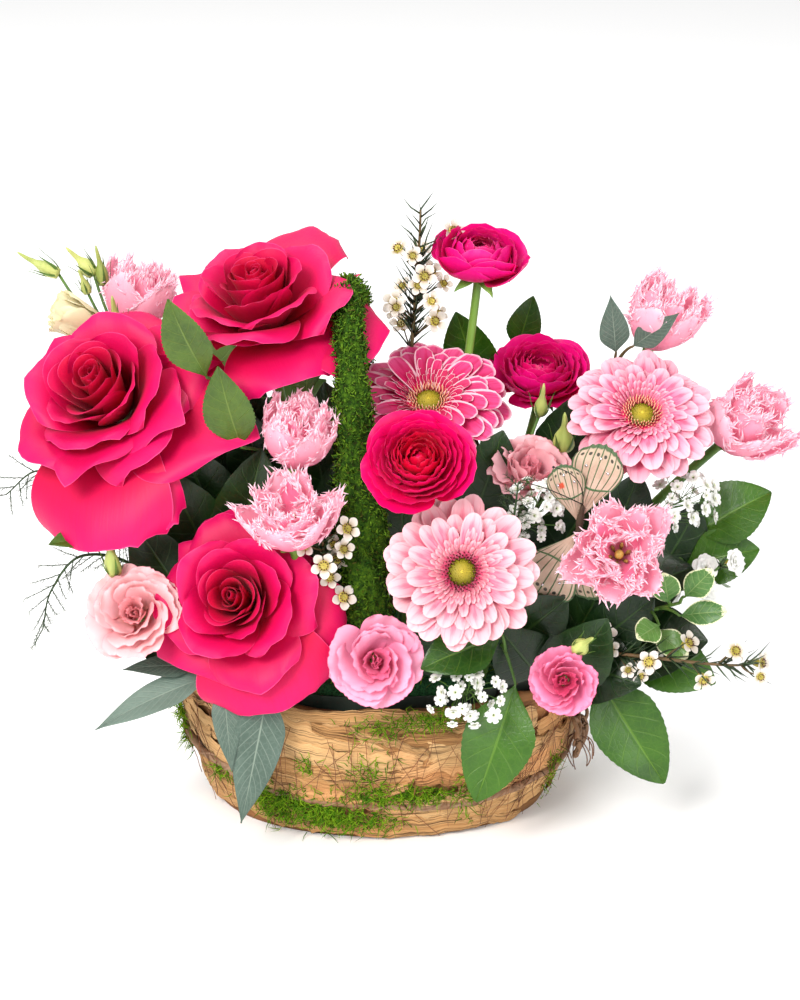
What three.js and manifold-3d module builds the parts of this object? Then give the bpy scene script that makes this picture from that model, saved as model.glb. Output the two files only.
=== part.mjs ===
// A flower arrangement in an oval bark basket with a moss-covered handle.
// Millimetres, +Z up. The origin is the middle of the basket's flat underside.
// +X is to the right and +Y is away from the side that faces the viewer.
import * as THREE from 'three';
import { mergeVertices } from 'three/addons/utils/BufferGeometryUtils.js';
import Module from 'manifold-3d';

const wasm = await Module();
wasm.setup();

// Driving dimensions of the holder
const basketRimHalf = { x: 100, y: 67 };
const basketBaseHalf = { x: 83, y: 53 };
const basketHeight = 76;
const basketWall = 6;
const basketFloor = 5;
const basketSides = 20;
const barkStrips = 4;
const barkRelief = 1.6;
const hoopMiddleHeight = 37;
const hoopBackRise = 14.5;
const hoopLeftRise = 5;
const hoopRadius = 1.7;
const hoopTurns = 30;
const hoopSides = 4;
const handleX = -6;
const handleHalfSpan = 51;
const handleSpringHeight = 150;
const handleTopHeight = 268;
const handleFootHeight = 56;
const handleFootRadius = 11.5;
const handleTopRadius = 8.5;
const handleLump = 0.08;
const handleFootInset = 10;
const handleRimInset = 7;
const handleRimHeight = 88;
const handleTopLean = -9;
const linerThickness = 0.9;
const linerTop = 80;
const foamTop = 84;

// Clearances and blades
const clearance = 0.35;
const bladeThickness = 0.7;
const stemFootHeight = 58;
const rootCrowding = 0.7;
const tidyTolerance = 0.06;
const fitSteps = [1, 0.9, 0.8, 0.7, 0.6, 0.5, 0.4, 0.3];
const headFits = [1, 0.97, 0.94];
const cutHeadFit = 0.97;

// Sizes of the flowers
const roseHeart = 44;
const gerberaHeart = 8;
const ranunculusHeart = 21;
const lisianthusHeart = 25;
const tulipHalfCup = 22;

const colours = {
  bark: 0xc08a4c, vine: 0x5b3a22, moss: 0x4f7a22, liner: 0x1c1c1a, foam: 0x2f5a36,
  rose: 0xe0006a, stem: 0x5f8a34, gerberaDeep: 0xe2447f,
  gerberaMid: 0xf0a0bf, gerberaPale: 0xf7cfda, ranunculus: 0xd0034f, tulip: 0xf2b3c0,
  lisianthusPeach: 0xf7cfc4, lisianthusPink: 0xf2a0b8, lisianthusDeep: 0xe87a9c,
  lisianthusCream: 0xf1edc4, salal: 0x2f6a24, eucalyptus: 0x7c9488, fern: 0x33511f,
  waxflower: 0xf3f0e2, gypsophila: 0xfafaf6, pittosporum: 0x6f9a4c, stock: 0xf8f8f0,
  butterfly: 0xe6ddc0,
};

const point = (x, y, z) => new THREE.Vector3(x, y, z);
const toPoint = (place) => (place.isVector3 ? place.clone() : new THREE.Vector3(...place));
const degrees = THREE.MathUtils.degToRad;
const lerp = THREE.MathUtils.lerp;

// The same series of numbers from 0 to 1 on each run for a given seed
function seededSeries(seed) {
  let state = (seed * 7919 + 13) % 233280;
  return () => {
    state = (state * 9301 + 49297) % 233280;
    return state / 233280;
  };
}

// Solids

// A closed geometry as a solid, its faces turned outwards and its flat triangles dropped
function solidOf(geometry) {
  const bare = new THREE.BufferGeometry();
  bare.setAttribute('position', geometry.getAttribute('position'));
  if (geometry.index) bare.setIndex(geometry.index);
  const merged = mergeVertices(bare, 1e-4);
  const positions = merged.getAttribute('position').array;
  const triangles = [];
  let volume = 0;
  const a = point(0, 0, 0);
  const b = point(0, 0, 0);
  const c = point(0, 0, 0);
  for (let i = 0; i < merged.index.count; i += 3) {
    const [p, q, r] = [0, 1, 2].map((k) => merged.index.getX(i + k));
    if (p === q || q === r || p === r) continue;
    triangles.push([p, q, r]);
    a.fromArray(positions, 3 * p);
    b.fromArray(positions, 3 * q);
    c.fromArray(positions, 3 * r);
    volume += a.dot(b.cross(c));
  }
  const turned = volume < 0 ? triangles.map(([p, q, r]) => [p, r, q]) : triangles;
  const vertProperties = new Float32Array(positions);
  const triVerts = new Uint32Array(turned.flat());
  return new wasm.Manifold(new wasm.Mesh({ numProp: 3, vertProperties, triVerts }));
}

function union(solids) {
  const present = solids.filter((solid) => solid);
  return present.length > 0 ? wasm.Manifold.union(present) : null;
}

function geometryOf(solid) {
  const mesh = solid.getMesh();
  const geometry = new THREE.BufferGeometry();
  geometry.setAttribute('position', new THREE.BufferAttribute(new Float32Array(mesh.vertProperties), 3));
  geometry.setIndex(new THREE.BufferAttribute(new Uint32Array(mesh.triVerts), 1));
  geometry.computeVertexNormals();
  return geometry;
}

// A closed skin over a row of rings with equal numbers of points, with a flat face at each end
function loft(rings) {
  const sides = rings[0].length;
  const last = rings.length - 1;
  const index = [];
  const at = (ring, side) => ring * sides + (side % sides);
  for (let side = 0; side < sides; side += 1) {
    for (let ring = 0; ring < last; ring += 1) {
      index.push(at(ring, side), at(ring, side + 1), at(ring + 1, side));
      index.push(at(ring, side + 1), at(ring + 1, side + 1), at(ring + 1, side));
    }
  }
  for (let side = 1; side < sides - 1; side += 1) {
    index.push(at(0, 0), at(0, side + 1), at(0, side));
    index.push(at(last, 0), at(last, side), at(last, side + 1));
  }
  const geometry = new THREE.BufferGeometry().setFromPoints(rings.flat());
  geometry.setIndex(index);
  return solidOf(geometry);
}

// A bar along a curve with flat sides. Its stations are pairs [share of the way, radius].
function bar(curve, stations, sides, grow = 0) {
  const normal = point(0, 0, 0);
  const rings = stations.map(([share, radius], i) => {
    const centre = curve.getPointAt(share);
    const tangent = curve.getTangentAt(share);
    if (i === 0) {
      const steady = Math.abs(tangent.z) > 0.8 ? point(1, 0, 0) : point(0, 0, 1);
      normal.copy(steady);
      centre.addScaledVector(tangent, -grow);
    }
    if (i === stations.length - 1) centre.addScaledVector(tangent, grow);
    normal.addScaledVector(tangent, -normal.dot(tangent)).normalize();
    const binormal = tangent.clone().cross(normal);
    const reach = radius + grow / Math.cos(Math.PI / sides);
    return Array.from({ length: sides }, (_, k) => {
      const angle = (2 * Math.PI * k) / sides;
      return centre.clone()
        .addScaledVector(normal, reach * Math.cos(angle))
        .addScaledVector(binormal, reach * Math.sin(angle));
    });
  });
  return loft(rings);
}

const evenly = (steps, radiusAt) => Array.from(
  { length: steps + 1 }, (_, i) => [i / steps, radiusAt(i / steps)],
);

const twig = (from, to, rootRadius, tipRadius, grow, sides = 3) => bar(
  new THREE.LineCurve3(from, to), [[0, rootRadius], [1, tipRadius]], sides, grow,
);

// A three-sided needle that ends in a point
function needle(from, to, radius, grow) {
  const line = new THREE.LineCurve3(from, to);
  const frames = line.computeFrenetFrames(1, false);
  const axis = frames.tangents[0];
  const corners = [0, 1, 2].map((k) => from.clone()
    .addScaledVector(frames.normals[0], (radius + 2 * grow) * Math.cos((2 * Math.PI * k) / 3))
    .addScaledVector(frames.binormals[0], (radius + 2 * grow) * Math.sin((2 * Math.PI * k) / 3)));
  const tip = to.clone().addScaledVector(axis, grow ? 4 * grow : 0);
  const geometry = new THREE.BufferGeometry().setFromPoints([...corners, tip]);
  geometry.setIndex([0, 2, 1, 0, 1, 3, 1, 2, 3, 2, 0, 3]);
  return solidOf(geometry);
}

// A spindle between two points, such as a bud, with its girth below its middle
function spindle(from, to, radius, grow, sides = 5) {
  const shape = [[0, 0.35], [0.4, 1], [1, 0.14]];
  const line = new THREE.LineCurve3(from, to);
  const frames = line.computeFrenetFrames(1, false);
  const axis = to.clone().sub(from).normalize();
  const rings = shape.map(([along, girth], ring) => {
    const centre = from.clone().lerp(to, along);
    if (ring === 0) centre.addScaledVector(axis, -grow);
    if (ring === shape.length - 1) centre.addScaledVector(axis, grow);
    return Array.from({ length: sides }, (_, k) => {
      const angle = (2 * Math.PI * k) / sides;
      return centre.clone()
        .addScaledVector(frames.normals[0], (radius * girth + grow) * Math.cos(angle))
        .addScaledVector(frames.binormals[0], (radius * girth + grow) * Math.sin(angle));
    });
  });
  return loft(rings);
}

// A thin blade over surface(across, along), across from -1 to 1 and along from 0 to 1.
// Both faces are split into triangles alike.
function blade(surface, columns, stations, grow = 0, thickness = bladeThickness) {
  const rows = stations.length - 1;
  const half = thickness / 2 + grow;
  const small = 0.01;
  const vertices = [[], []];
  for (let j = 0; j <= rows; j += 1) {
    for (let i = 0; i <= columns; i += 1) {
      const s = -1 + (2 * i) / columns;
      const t = stations[j];
      const centre = surface(s, t);
      const across = surface(s + small, t).sub(surface(s - small, t)).normalize();
      const along = surface(s, Math.min(t + small, 1)).sub(surface(s, Math.max(t - small, 0))).normalize();
      const normal = across.clone().cross(along).normalize();
      if (i === 0) centre.addScaledVector(across, -grow);
      if (i === columns) centre.addScaledVector(across, grow);
      if (j === 0) centre.addScaledVector(along, -grow);
      if (j === rows) centre.addScaledVector(along, grow);
      vertices[0].push(centre.clone().addScaledVector(normal, half));
      vertices[1].push(centre.clone().addScaledVector(normal, -half));
    }
  }
  const count = vertices[0].length;
  const at = (face, i, j) => face * count + j * (columns + 1) + i;
  const index = [];
  const wall = (i, j, k, l) => {
    index.push(at(0, i, j), at(0, k, l), at(1, i, j));
    index.push(at(0, k, l), at(1, k, l), at(1, i, j));
  };
  for (let j = 0; j < rows; j += 1) {
    for (let i = 0; i < columns; i += 1) {
      index.push(at(0, i, j), at(0, i + 1, j), at(0, i, j + 1));
      index.push(at(0, i + 1, j), at(0, i + 1, j + 1), at(0, i, j + 1));
      index.push(at(1, i, j), at(1, i, j + 1), at(1, i + 1, j));
      index.push(at(1, i + 1, j), at(1, i, j + 1), at(1, i + 1, j + 1));
    }
    wall(0, j, 0, j + 1);
    wall(columns, j + 1, columns, j);
  }
  for (let i = 0; i < columns; i += 1) {
    wall(i + 1, 0, i, 0);
    wall(i, rows, i + 1, rows);
  }
  const geometry = new THREE.BufferGeometry().setFromPoints(vertices.flat());
  geometry.setIndex(index);
  return solidOf(geometry);
}

// Flower parts

// The middle line of a petal leaves its root at the angle `from` off the flower's axis and bends
// evenly to the angle `to`. Across, the petal lies round the axis, no wider than its share of the
// ring and an `overlap`. One edge stands out by `spiral` and the other in, so that neighbours in
// a ring pass without touching. Its sides roll back by `curl`, and `fringe` cuts its rim.
function petalSurface(petal) {
  const from = degrees(petal.from);
  const turn = degrees(petal.to) - from || 0.001;
  const azimuth = degrees(petal.azimuth);
  const widest = petal.widest ?? 0.66;
  const rootShare = petal.rootShare ?? 0.4;
  return (s, t) => {
    const rising = rootShare + (1 - rootShare) * Math.sin((Math.PI / 2) * Math.min(t / widest, 1));
    const falling = Math.sqrt(Math.max(0, 1 - (Math.max(t - widest, 0) / (1 - widest)) ** 2.4));
    const half = (petal.width / 2) * rising * Math.max(falling, petal.tipShare ?? 0.4);
    const angle = from + turn * t;
    const radius = petal.rootRadius + (petal.length * (Math.cos(from) - Math.cos(angle))) / turn;
    const height = petal.rootHeight + (petal.length * (Math.sin(angle) - Math.sin(from))) / turn;
    const opening = Math.min(1, 2.5 * t);
    const share = (Math.PI / petal.count) * (rootCrowding + (1 - rootCrowding + petal.overlap) * opening);
    const round = azimuth + s * Math.min(half / Math.max(radius, 0.5), share);
    const out = point(Math.cos(round), Math.sin(round), 0);
    const lift = s * petal.spiral * opening - (petal.curl ?? 0) * petal.width * s * s * t * t;
    const inward = out.clone().multiplyScalar(-Math.cos(angle)).add(point(0, 0, Math.sin(angle)));
    const along = out.clone().multiplyScalar(Math.sin(angle)).add(point(0, 0, Math.cos(angle)));
    const cut = petal.fringe && t > 0.9 ? petal.fringe * Math.cos(1.5 * Math.PI * (s + 1)) : 0;
    return out.clone().multiplyScalar(radius)
      .add(point(0, 0, height))
      .addScaledVector(inward, lift)
      .addScaledVector(along, cut);
  };
}

// The petals of a head, ring by ring, each as a function of the room round it and of its fit:
// a fit under 1 makes the petal smaller. The values of a ring are varied a little by the seed.
function petalBlades(rings, seed, frame) {
  const next = seededSeries(seed);
  return rings.flatMap((ring) => Array.from({ length: ring.count }, (_, k) => {
    const vary = (share) => 1 + share * (2 * next() - 1);
    const azimuth = (ring.start ?? 0) + (360 * (k + 0.12 * (vary(1) - 1))) / ring.count;
    const petal = { ...ring, azimuth, length: ring.length * vary(0.04), width: ring.width * vary(0.04) };
    return (grow, fit) => placed(blade(petalSurface({
      ...petal, length: petal.length * fit, width: petal.width * (0.4 + 0.6 * fit),
    }), ring.columns, ring.stations, grow), frame);
  }));
}

// A head turned in one piece, its profile running in and out from layer to layer. Each level is
// a ring of points [radius, height]; `notch` gives the place of every third point instead, where
// two petals part, and `fringe` sets the others high and low in turn.
function turnedHead(levels, points, frame) {
  return (grow, fit) => {
    const rings = levels.map((level, i) => {
      const before = levels[Math.max(i - 1, 0)];
      const after = levels[Math.min(i + 1, levels.length - 1)];
      const normal = new THREE.Vector2(after.at[1] - before.at[1], before.at[0] - after.at[0]).normalize();
      return Array.from({ length: points }, (_, k) => {
        const place = level.notch && (k + (level.shift ?? 0)) % 3 === 0 ? level.notch : level.at;
        const raised = level.fringe ? level.fringe * (k % 2 === 0 ? 1 : -1) : 0;
        const radius = place[0] * fit + grow * normal.x;
        const height = i === 0 ? clearance - grow : place[1] * fit + raised + grow * normal.y;
        const angle = (2 * Math.PI * k) / points;
        return point(radius * Math.cos(angle), radius * Math.sin(angle), height);
      });
    });
    return placed(loft(rings), frame);
  };
}

// The solid middle of a flower head: a turned dome that every petal is rooted in
function headCore({ radius, height, sides = 6 }, grow) {
  const profile = [
    new THREE.Vector2(0, clearance - grow),
    new THREE.Vector2(radius * 0.7 + grow, clearance - grow),
    new THREE.Vector2(radius + grow, height * 0.45),
    new THREE.Vector2(radius * 0.55 + grow, height * 0.86),
    new THREE.Vector2(0, height + grow),
  ];
  const geometry = new THREE.LatheGeometry(profile, sides);
  geometry.rotateX(Math.PI / 2);
  return solidOf(geometry);
}

// A frame whose Z is the way the flower faces, with Y as near to up as it can be
function flowerFrame(base, facing, roll) {
  const z = facing.clone().normalize();
  const upHint = point(0, 0.375, 0.927);
  const y = upHint.addScaledVector(z, -upHint.dot(z)).normalize();
  const x = y.clone().cross(z);
  const frame = new THREE.Matrix4().makeBasis(x, y, z);
  frame.multiply(new THREE.Matrix4().makeRotationZ(degrees(roll)));
  frame.setPosition(base);
  return frame;
}

const placed = (solid, frame) => solid.transform(frame.elements);

// A pointed leaf from its base to its tip, its first part narrow as a stalk. `face` is the way its
// upper side looks, `sag` bends its middle, `fold` lifts its halves and `teeth` cuts its edge.
function leaf(form, grow, fit = 1) {
  const { base, tip, width, face, sag = 0.05, fold = 0.12, teeth = 0, stations, widest = 0.42 } = form;
  const from = toPoint(base);
  const to = from.clone().lerp(toPoint(tip), fit);
  const axis = to.clone().sub(from);
  const length = axis.length();
  axis.normalize();
  const up = toPoint(face);
  up.addScaledVector(axis, -up.dot(axis)).normalize();
  const side = axis.clone().cross(up);
  const rows = stations ?? [0, 0.2, 0.42, 0.66, 0.86, 1];
  const surface = (s, t) => {
    const swell = t < widest ? Math.sin((Math.PI / 2) * (t / widest)) ** 1.3
      : Math.max(0, Math.cos((Math.PI / 2) * ((t - widest) / (1 - widest)))) ** 0.85;
    const nearest = rows.filter((row) => row < t - 0.05).length;
    const notch = 1 + (nearest % 2 === 1 ? teeth : -teeth);
    const half = Math.max(0.06, swell) * notch * (width / 2) * (0.3 + 0.7 * fit);
    return from.clone()
      .addScaledVector(axis, length * t)
      .addScaledVector(up, sag * 4 * t * (1 - t) * length + fold * half * Math.abs(s) * 2)
      .addScaledVector(side, s * half);
  };
  return blade(surface, 2, rows, grow);
}

// A leaf on a thin stalk from the curve of its stem
const stalkedLeaf = (curve, form) => (grow, fit) => union([
  needle(toPoint(form.base), curve.getPointAt(form.along), 1.2, grow), leaf(form, grow, fit),
]);

// Stems

// A stem from under a flower or from its own tip, down into the foam at `foot`
function stemCurve(top, leaving, foot, lift = 45) {
  const end = point(foot[0], foot[1], foot[2] ?? stemFootHeight);
  const rise = point(foot[0] * 0.12, foot[1] * 0.12, lift);
  return new THREE.CubicBezierCurve3(top, top.clone().add(leaving), end.clone().add(rise), end);
}

// Every piece is a recipe. `bones(grow)` gives the stems and other firm parts. `blades` are its
// petals, leaves and needles, each a function (grow, fit): one that meets a neighbour is made
// smaller until it passes clear. `filling(grow)` is a body that gives way to all firm parts.
const recipes = [];
function addPiece(name, colour, finish, parts) {
  recipes.push({ name, colour, finish, ...parts });
}

// The holder

function ellipseRing(halfX, halfY, height, sides, ripple = () => 0) {
  return Array.from({ length: sides }, (_, k) => {
    const angle = (2 * Math.PI * k) / sides;
    const out = ripple(angle);
    return point((halfX + out) * Math.cos(angle), (halfY + out) * Math.sin(angle), height);
  });
}

// Half-axes of the basket's outside at a share of its height, bowed outwards a little
function basketHalf(share) {
  const bow = 3.2 * Math.sin(Math.PI * Math.min(share, 1));
  return {
    x: lerp(basketBaseHalf.x, basketRimHalf.x, share) + bow,
    y: lerp(basketBaseHalf.y, basketRimHalf.y, share) + bow,
  };
}

// The wall of twisted bark strips: each strip bulges between two lines that wander up and down
function basketWallSolid(grow) {
  const rings = [];
  const rows = barkStrips * 2;
  const base = basketHalf(0);
  rings.push(ellipseRing(base.x * 0.5, base.y * 0.5, -grow, basketSides));
  for (let row = 0; row <= rows; row += 1) {
    const share = row / rows;
    const half = basketHalf(share);
    const bulge = row % 2 === 1 ? barkRelief : 0;
    const wander = (angle) => bulge + (row > 0 && row < rows ? 0.5 * Math.sin(3 * angle + row) : 0);
    const height = row === 0 ? -grow : basketHeight * share + (row === rows ? grow : 0);
    rings.push(ellipseRing(half.x + grow, half.y + grow, height, basketSides, wander));
  }
  for (const share of [1, 0.5, basketFloor / basketHeight]) {
    const half = basketHalf(share);
    const inset = basketWall + grow;
    const height = share === 1 ? basketHeight + grow : basketHeight * share;
    rings.push(ellipseRing(half.x - inset, half.y - inset, height, basketSides));
  }
  return loft(rings);
}

addPiece('basket_bark_wall', 'bark', 'matte', { bones: basketWallSolid });

// The vine tied round the outside, a closed ring that dips at the front and climbs to the left and the back
function hoopSolid(grow) {
  const points = [];
  for (let i = 0; i < hoopTurns; i += 1) {
    const angle = (2 * Math.PI * i) / hoopTurns;
    const height = hoopMiddleHeight + hoopBackRise * Math.sin(angle) - hoopLeftRise * Math.cos(angle)
      + 0.9 * Math.sin(7 * angle);
    const half = basketHalf(height / basketHeight);
    const out = barkRelief + hoopRadius + 1.1;
    points.push(point((half.x + out) * Math.cos(angle), (half.y + out) * Math.sin(angle), height));
  }
  const curve = new THREE.CatmullRomCurve3(points, true);
  const frames = curve.computeFrenetFrames(hoopTurns, true);
  const radius = hoopRadius + grow;
  const vertices = [];
  for (let i = 0; i < hoopTurns; i += 1) {
    const centre = curve.getPointAt(i / hoopTurns);
    for (let k = 0; k < hoopSides; k += 1) {
      const angle = (2 * Math.PI * k) / hoopSides;
      vertices.push(centre.clone()
        .addScaledVector(frames.normals[i], radius * Math.cos(angle))
        .addScaledVector(frames.binormals[i], radius * Math.sin(angle)));
    }
  }
  const index = [];
  const at = (turn, side) => (turn % hoopTurns) * hoopSides + (side % hoopSides);
  for (let i = 0; i < hoopTurns; i += 1) {
    for (let k = 0; k < hoopSides; k += 1) {
      index.push(at(i, k), at(i, k + 1), at(i + 1, k));
      index.push(at(i, k + 1), at(i + 1, k + 1), at(i + 1, k));
    }
  }
  const geometry = new THREE.BufferGeometry().setFromPoints(vertices);
  geometry.setIndex(index);
  return solidOf(geometry);
}

addPiece('basket_vine_hoop', 'vine', 'matte', { filling: hoopSolid });

// The moss-covered arch from the front rim to the back rim, its top leaning to the left
function handleCurve() {
  const points = [];
  const rise = handleTopHeight - handleSpringHeight;
  const place = (y, z) => {
    const share = Math.max(0, (z - handleFootHeight) / (handleTopHeight - handleFootHeight));
    points.push(point(handleX + handleTopLean * share ** 1.6, y, z));
  };
  place(-handleHalfSpan + handleFootInset, handleFootHeight);
  place(-handleHalfSpan + handleRimInset, handleRimHeight);
  for (let k = 0; k <= 12; k += 1) {
    const angle = Math.PI - (Math.PI * k) / 12;
    place(handleHalfSpan * Math.cos(angle), handleSpringHeight + rise * Math.sin(angle));
  }
  place(handleHalfSpan - handleRimInset, handleRimHeight);
  place(handleHalfSpan - handleFootInset, handleFootHeight);
  return new THREE.CatmullRomCurve3(points);
}

function handleSolid(grow) {
  const lumps = seededSeries(5);
  const radiusAt = (t) => {
    const fromTop = Math.abs(2 * t - 1);
    const lump = 1 + handleLump * (2 * lumps() - 1);
    return lerp(handleTopRadius, handleFootRadius, fromTop) * lump;
  };
  return bar(handleCurve(), evenly(18, radiusAt), 6, grow);
}

addPiece('handle_moss_arch', 'moss', 'matte', { bones: handleSolid });

// Flowers

const roseRings = (size) => [
  { count: 3, from: 10, to: -20, rootRadius: 3, rootHeight: 0.34 * size, length: 0.5 * size,
    width: 0.5 * size, overlap: 0.1, spiral: 1.4, columns: 2, stations: [0, 0.55, 1], tipShare: 0.7 },
  { count: 3, start: 50, from: 30, to: 12, rootRadius: 5, rootHeight: 0.16 * size, length: 0.72 * size,
    width: 0.86 * size, overlap: 0.15, spiral: 2.2, curl: 0.05, columns: 3, stations: [0, 0.6, 1],
    tipShare: 0.6 },
  { count: 5, start: 20, from: 56, to: 118, rootRadius: 5.6, rootHeight: 3.6, length: 1.1 * size,
    width: 1.06 * size, overlap: 0.25, spiral: 2.4, curl: 0.07, columns: 3, stations: [0, 0.42, 0.8, 1],
    tipShare: 0.5 },
];

const gerberaLevels = (radius) => [
  { at: [4, 0.4] },
  { at: [0.98 * radius, 2.2], notch: [0.56 * radius, 3.2] },
  { at: [0.98 * radius, 3.2], notch: [0.56 * radius, 4.2] },
  { at: [0.3 * radius, 6] },
  { at: [0.62 * radius, 7.4], notch: [0.36 * radius, 7.2], shift: 1 },
  { at: [0.62 * radius, 8.3], notch: [0.36 * radius, 8.1], shift: 1 },
  { at: [0.25 * radius, 8.4] },
  { at: [0.2 * radius, 10.4] },
  { at: [0.08 * radius, 10.8] },
];

const ranunculusLevels = (radius) => [
  { at: [0.2 * radius, 0.4] },
  { at: [0.78 * radius, 0.16 * radius] },
  { at: [1.02 * radius, 0.5 * radius], notch: [0.9 * radius, 0.36 * radius] },
  { at: [0.97 * radius, 0.54 * radius], notch: [0.85 * radius, 0.4 * radius] },
  { at: [0.76 * radius, 0.36 * radius] },
  { at: [0.8 * radius, 0.74 * radius], notch: [0.76 * radius, 0.6 * radius], shift: 1 },
  { at: [0.75 * radius, 0.75 * radius], notch: [0.71 * radius, 0.61 * radius], shift: 1 },
  { at: [0.56 * radius, 0.56 * radius] },
  { at: [0.56 * radius, 0.88 * radius], notch: [0.54 * radius, 0.74 * radius], shift: 2 },
  { at: [0.51 * radius, 0.88 * radius], notch: [0.49 * radius, 0.74 * radius], shift: 2 },
  { at: [0.34 * radius, 0.66 * radius] },
  { at: [0.3 * radius, 0.86 * radius], notch: [0.28 * radius, 0.78 * radius] },
  { at: [0.12 * radius, 0.82 * radius] },
];

const tulipLevels = (length, mouth) => [
  { at: [2.6, 0.4] },
  { at: [0.34 * length, 0.2 * length], notch: [0.29 * length, 0.2 * length] },
  { at: [0.44 * length, 0.58 * length], notch: [0.37 * length, 0.54 * length] },
  { at: [mouth * length, 0.98 * length], notch: [0.84 * mouth * length, 0.84 * length],
    fringe: 0.05 * length },
  { at: [(mouth - 0.03) * length, 0.98 * length], notch: [0.8 * mouth * length, 0.84 * length],
    fringe: 0.05 * length },
  { at: [0.38 * length, 0.56 * length], notch: [0.33 * length, 0.54 * length] },
  { at: [0.1 * length, 0.22 * length] },
];

const lisianthusLevels = (radius) => [
  { at: [2.4, 0.4] },
  { at: [0.42 * radius, 0.46 * radius], notch: [0.36 * radius, 0.46 * radius] },
  { at: [radius, 0.98 * radius], notch: [0.74 * radius, 0.8 * radius] },
  { at: [0.97 * radius, 1.03 * radius], notch: [0.71 * radius, 0.85 * radius] },
  { at: [0.46 * radius, 0.66 * radius] },
  { at: [0.52 * radius, 1.14 * radius], notch: [0.46 * radius, 1 * radius], shift: 1 },
  { at: [0.48 * radius, 1.15 * radius], notch: [0.42 * radius, 1.01 * radius], shift: 1 },
  { at: [0.2 * radius, 0.64 * radius] },
  { at: [0.22 * radius, 1.08 * radius], notch: [0.14 * radius, 1 * radius] },
  { at: [0.06 * radius, 0.84 * radius] },
];

const budRings = (length) => [
  { count: 3, from: 24, to: -12, rootRadius: 2, rootHeight: 2.6, length: 0.9 * length, width: 0.62 * length,
    overlap: 0.2, spiral: 1, columns: 3, stations: [0, 0.5, 1], tipShare: 0.5 },
];

// A flower is two pieces: its head of petals, and its stem with the calyx, buds and leaves
function addFlower(flower) {
  const facing = toPoint(flower.facing).normalize();
  const base = toPoint(flower.heart).addScaledVector(facing, -flower.depth);
  const frame = flowerFrame(base, facing, flower.roll ?? 0);
  const leaving = flower.leaving ? toPoint(flower.leaving) : facing.clone().multiplyScalar(-30);
  const curve = stemCurve(base, leaving, flower.foot, flower.lift);
  const calyxShare = flower.calyx.depth / curve.getLength();
  const stations = [[0, flower.calyx.radius], ...[calyxShare, 0.3, 0.55, 0.8, 1].map(
    (share) => [share, flower.stemRadius],
  )];
  const budBones = (grow) => (flower.buds ?? []).flatMap((bud) => {
    const root = curve.getPointAt(bud.along);
    const start = toPoint(bud.base);
    return [twig(root, start, 0.9, 0.8, grow), spindle(start, toPoint(bud.tip), bud.radius, grow)];
  });
  addPiece(`${flower.name}_stem`, 'stem', 'leaf', {
    bones: (grow) => union([bar(curve, stations, 4, grow), ...budBones(grow)]),
    blades: (flower.leaves ?? []).map((each) => stalkedLeaf(curve, each)),
  });
  addPiece(`${flower.name}_${flower.headName ?? 'petals'}`, flower.colour, 'petal', {
    bones: flower.core ? (grow) => placed(headCore(flower.core, grow), frame) : null,
    blades: flower.rings ? petalBlades(flower.rings, flower.seed, frame) : null,
    head: flower.levels ? turnedHead(flower.levels, flower.points, frame) : null,
  });
}

const kinds = {
  rose: (size) => ({
    rings: roseRings(size), core: { radius: 8.5, height: 0.42 * size, sides: 5 }, depth: roseHeart,
    stemRadius: 2.8, calyx: { radius: 6.5, depth: 9 }, colour: 'rose',
  }),
  gerbera: (radius) => ({
    levels: gerberaLevels(radius), points: 24, depth: gerberaHeart, stemRadius: 2.3,
    calyx: { radius: 8.5, depth: 8 }, headName: 'rays',
  }),
  ranunculus: (radius) => ({
    levels: ranunculusLevels(radius), points: 14, depth: ranunculusHeart, stemRadius: 2.1,
    calyx: { radius: 4.5, depth: 5 }, colour: 'ranunculus',
  }),
  tulip: (length, mouth) => ({
    levels: tulipLevels(length, mouth), points: 15, depth: tulipHalfCup, stemRadius: 2.4,
    calyx: { radius: 3.2, depth: 4 }, colour: 'tulip',
  }),
  lisianthus: (radius) => ({
    levels: lisianthusLevels(radius), points: 14, depth: lisianthusHeart, stemRadius: 1.4,
    calyx: { radius: 3.6, depth: 7 },
  }),
};

// Where each flower is and which way it faces
addFlower({
  ...kinds.rose(52), name: 'rose_left', seed: 11, heart: [-140, -27, 238], facing: [-0.35, -0.56, 0.75],
  foot: [-57, 2], roll: 34, leaves: [
    { along: 0.32, base: [-124, -34, 156], tip: [-160, -50, 158], width: 20, face: [0, -0.5, 0.85] },
  ],
});
addFlower({
  ...kinds.rose(47), name: 'rose_top', seed: 23, heart: [-61, -6, 286], facing: [-0.15, -0.26, 0.95],
  foot: [-30, 14], roll: -20, leaves: [
    { along: 0.4, base: [-66, -34, 192], tip: [-74, -44, 228], width: 22, face: [-0.2, -0.9, 0.2] },
    { along: 0.3, base: [-38, 52, 196], tip: [-34, 84, 222], width: 30, face: [0, 0.6, 0.7] },
  ],
});
addFlower({
  ...kinds.rose(45), name: 'rose_front', seed: 37, heart: [-73, -90, 150], facing: [-0.25, -0.83, 0.5],
  foot: [-46, -31], roll: 3,
});
addFlower({
  ...kinds.gerbera(41), name: 'gerbera_back', heart: [24, 8, 212], facing: [-0.05, -0.47, 0.88],
  foot: [8, 4], colour: 'gerberaDeep',
});
addFlower({
  ...kinds.gerbera(38), name: 'gerbera_right', heart: [128, -15, 213], facing: [0.04, -0.6, 0.8],
  foot: [60, -4], colour: 'gerberaMid',
});
addFlower({
  ...kinds.gerbera(38), name: 'gerbera_front', heart: [39, -90, 161], facing: [-0.05, -0.88, 0.47],
  foot: [40, -38], colour: 'gerberaPale',
});
addFlower({
  ...kinds.ranunculus(25), name: 'ranunculus_top', heart: [50, 25, 290], facing: [0.08, -0.03, 0.99],
  foot: [25, 18],
});
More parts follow.
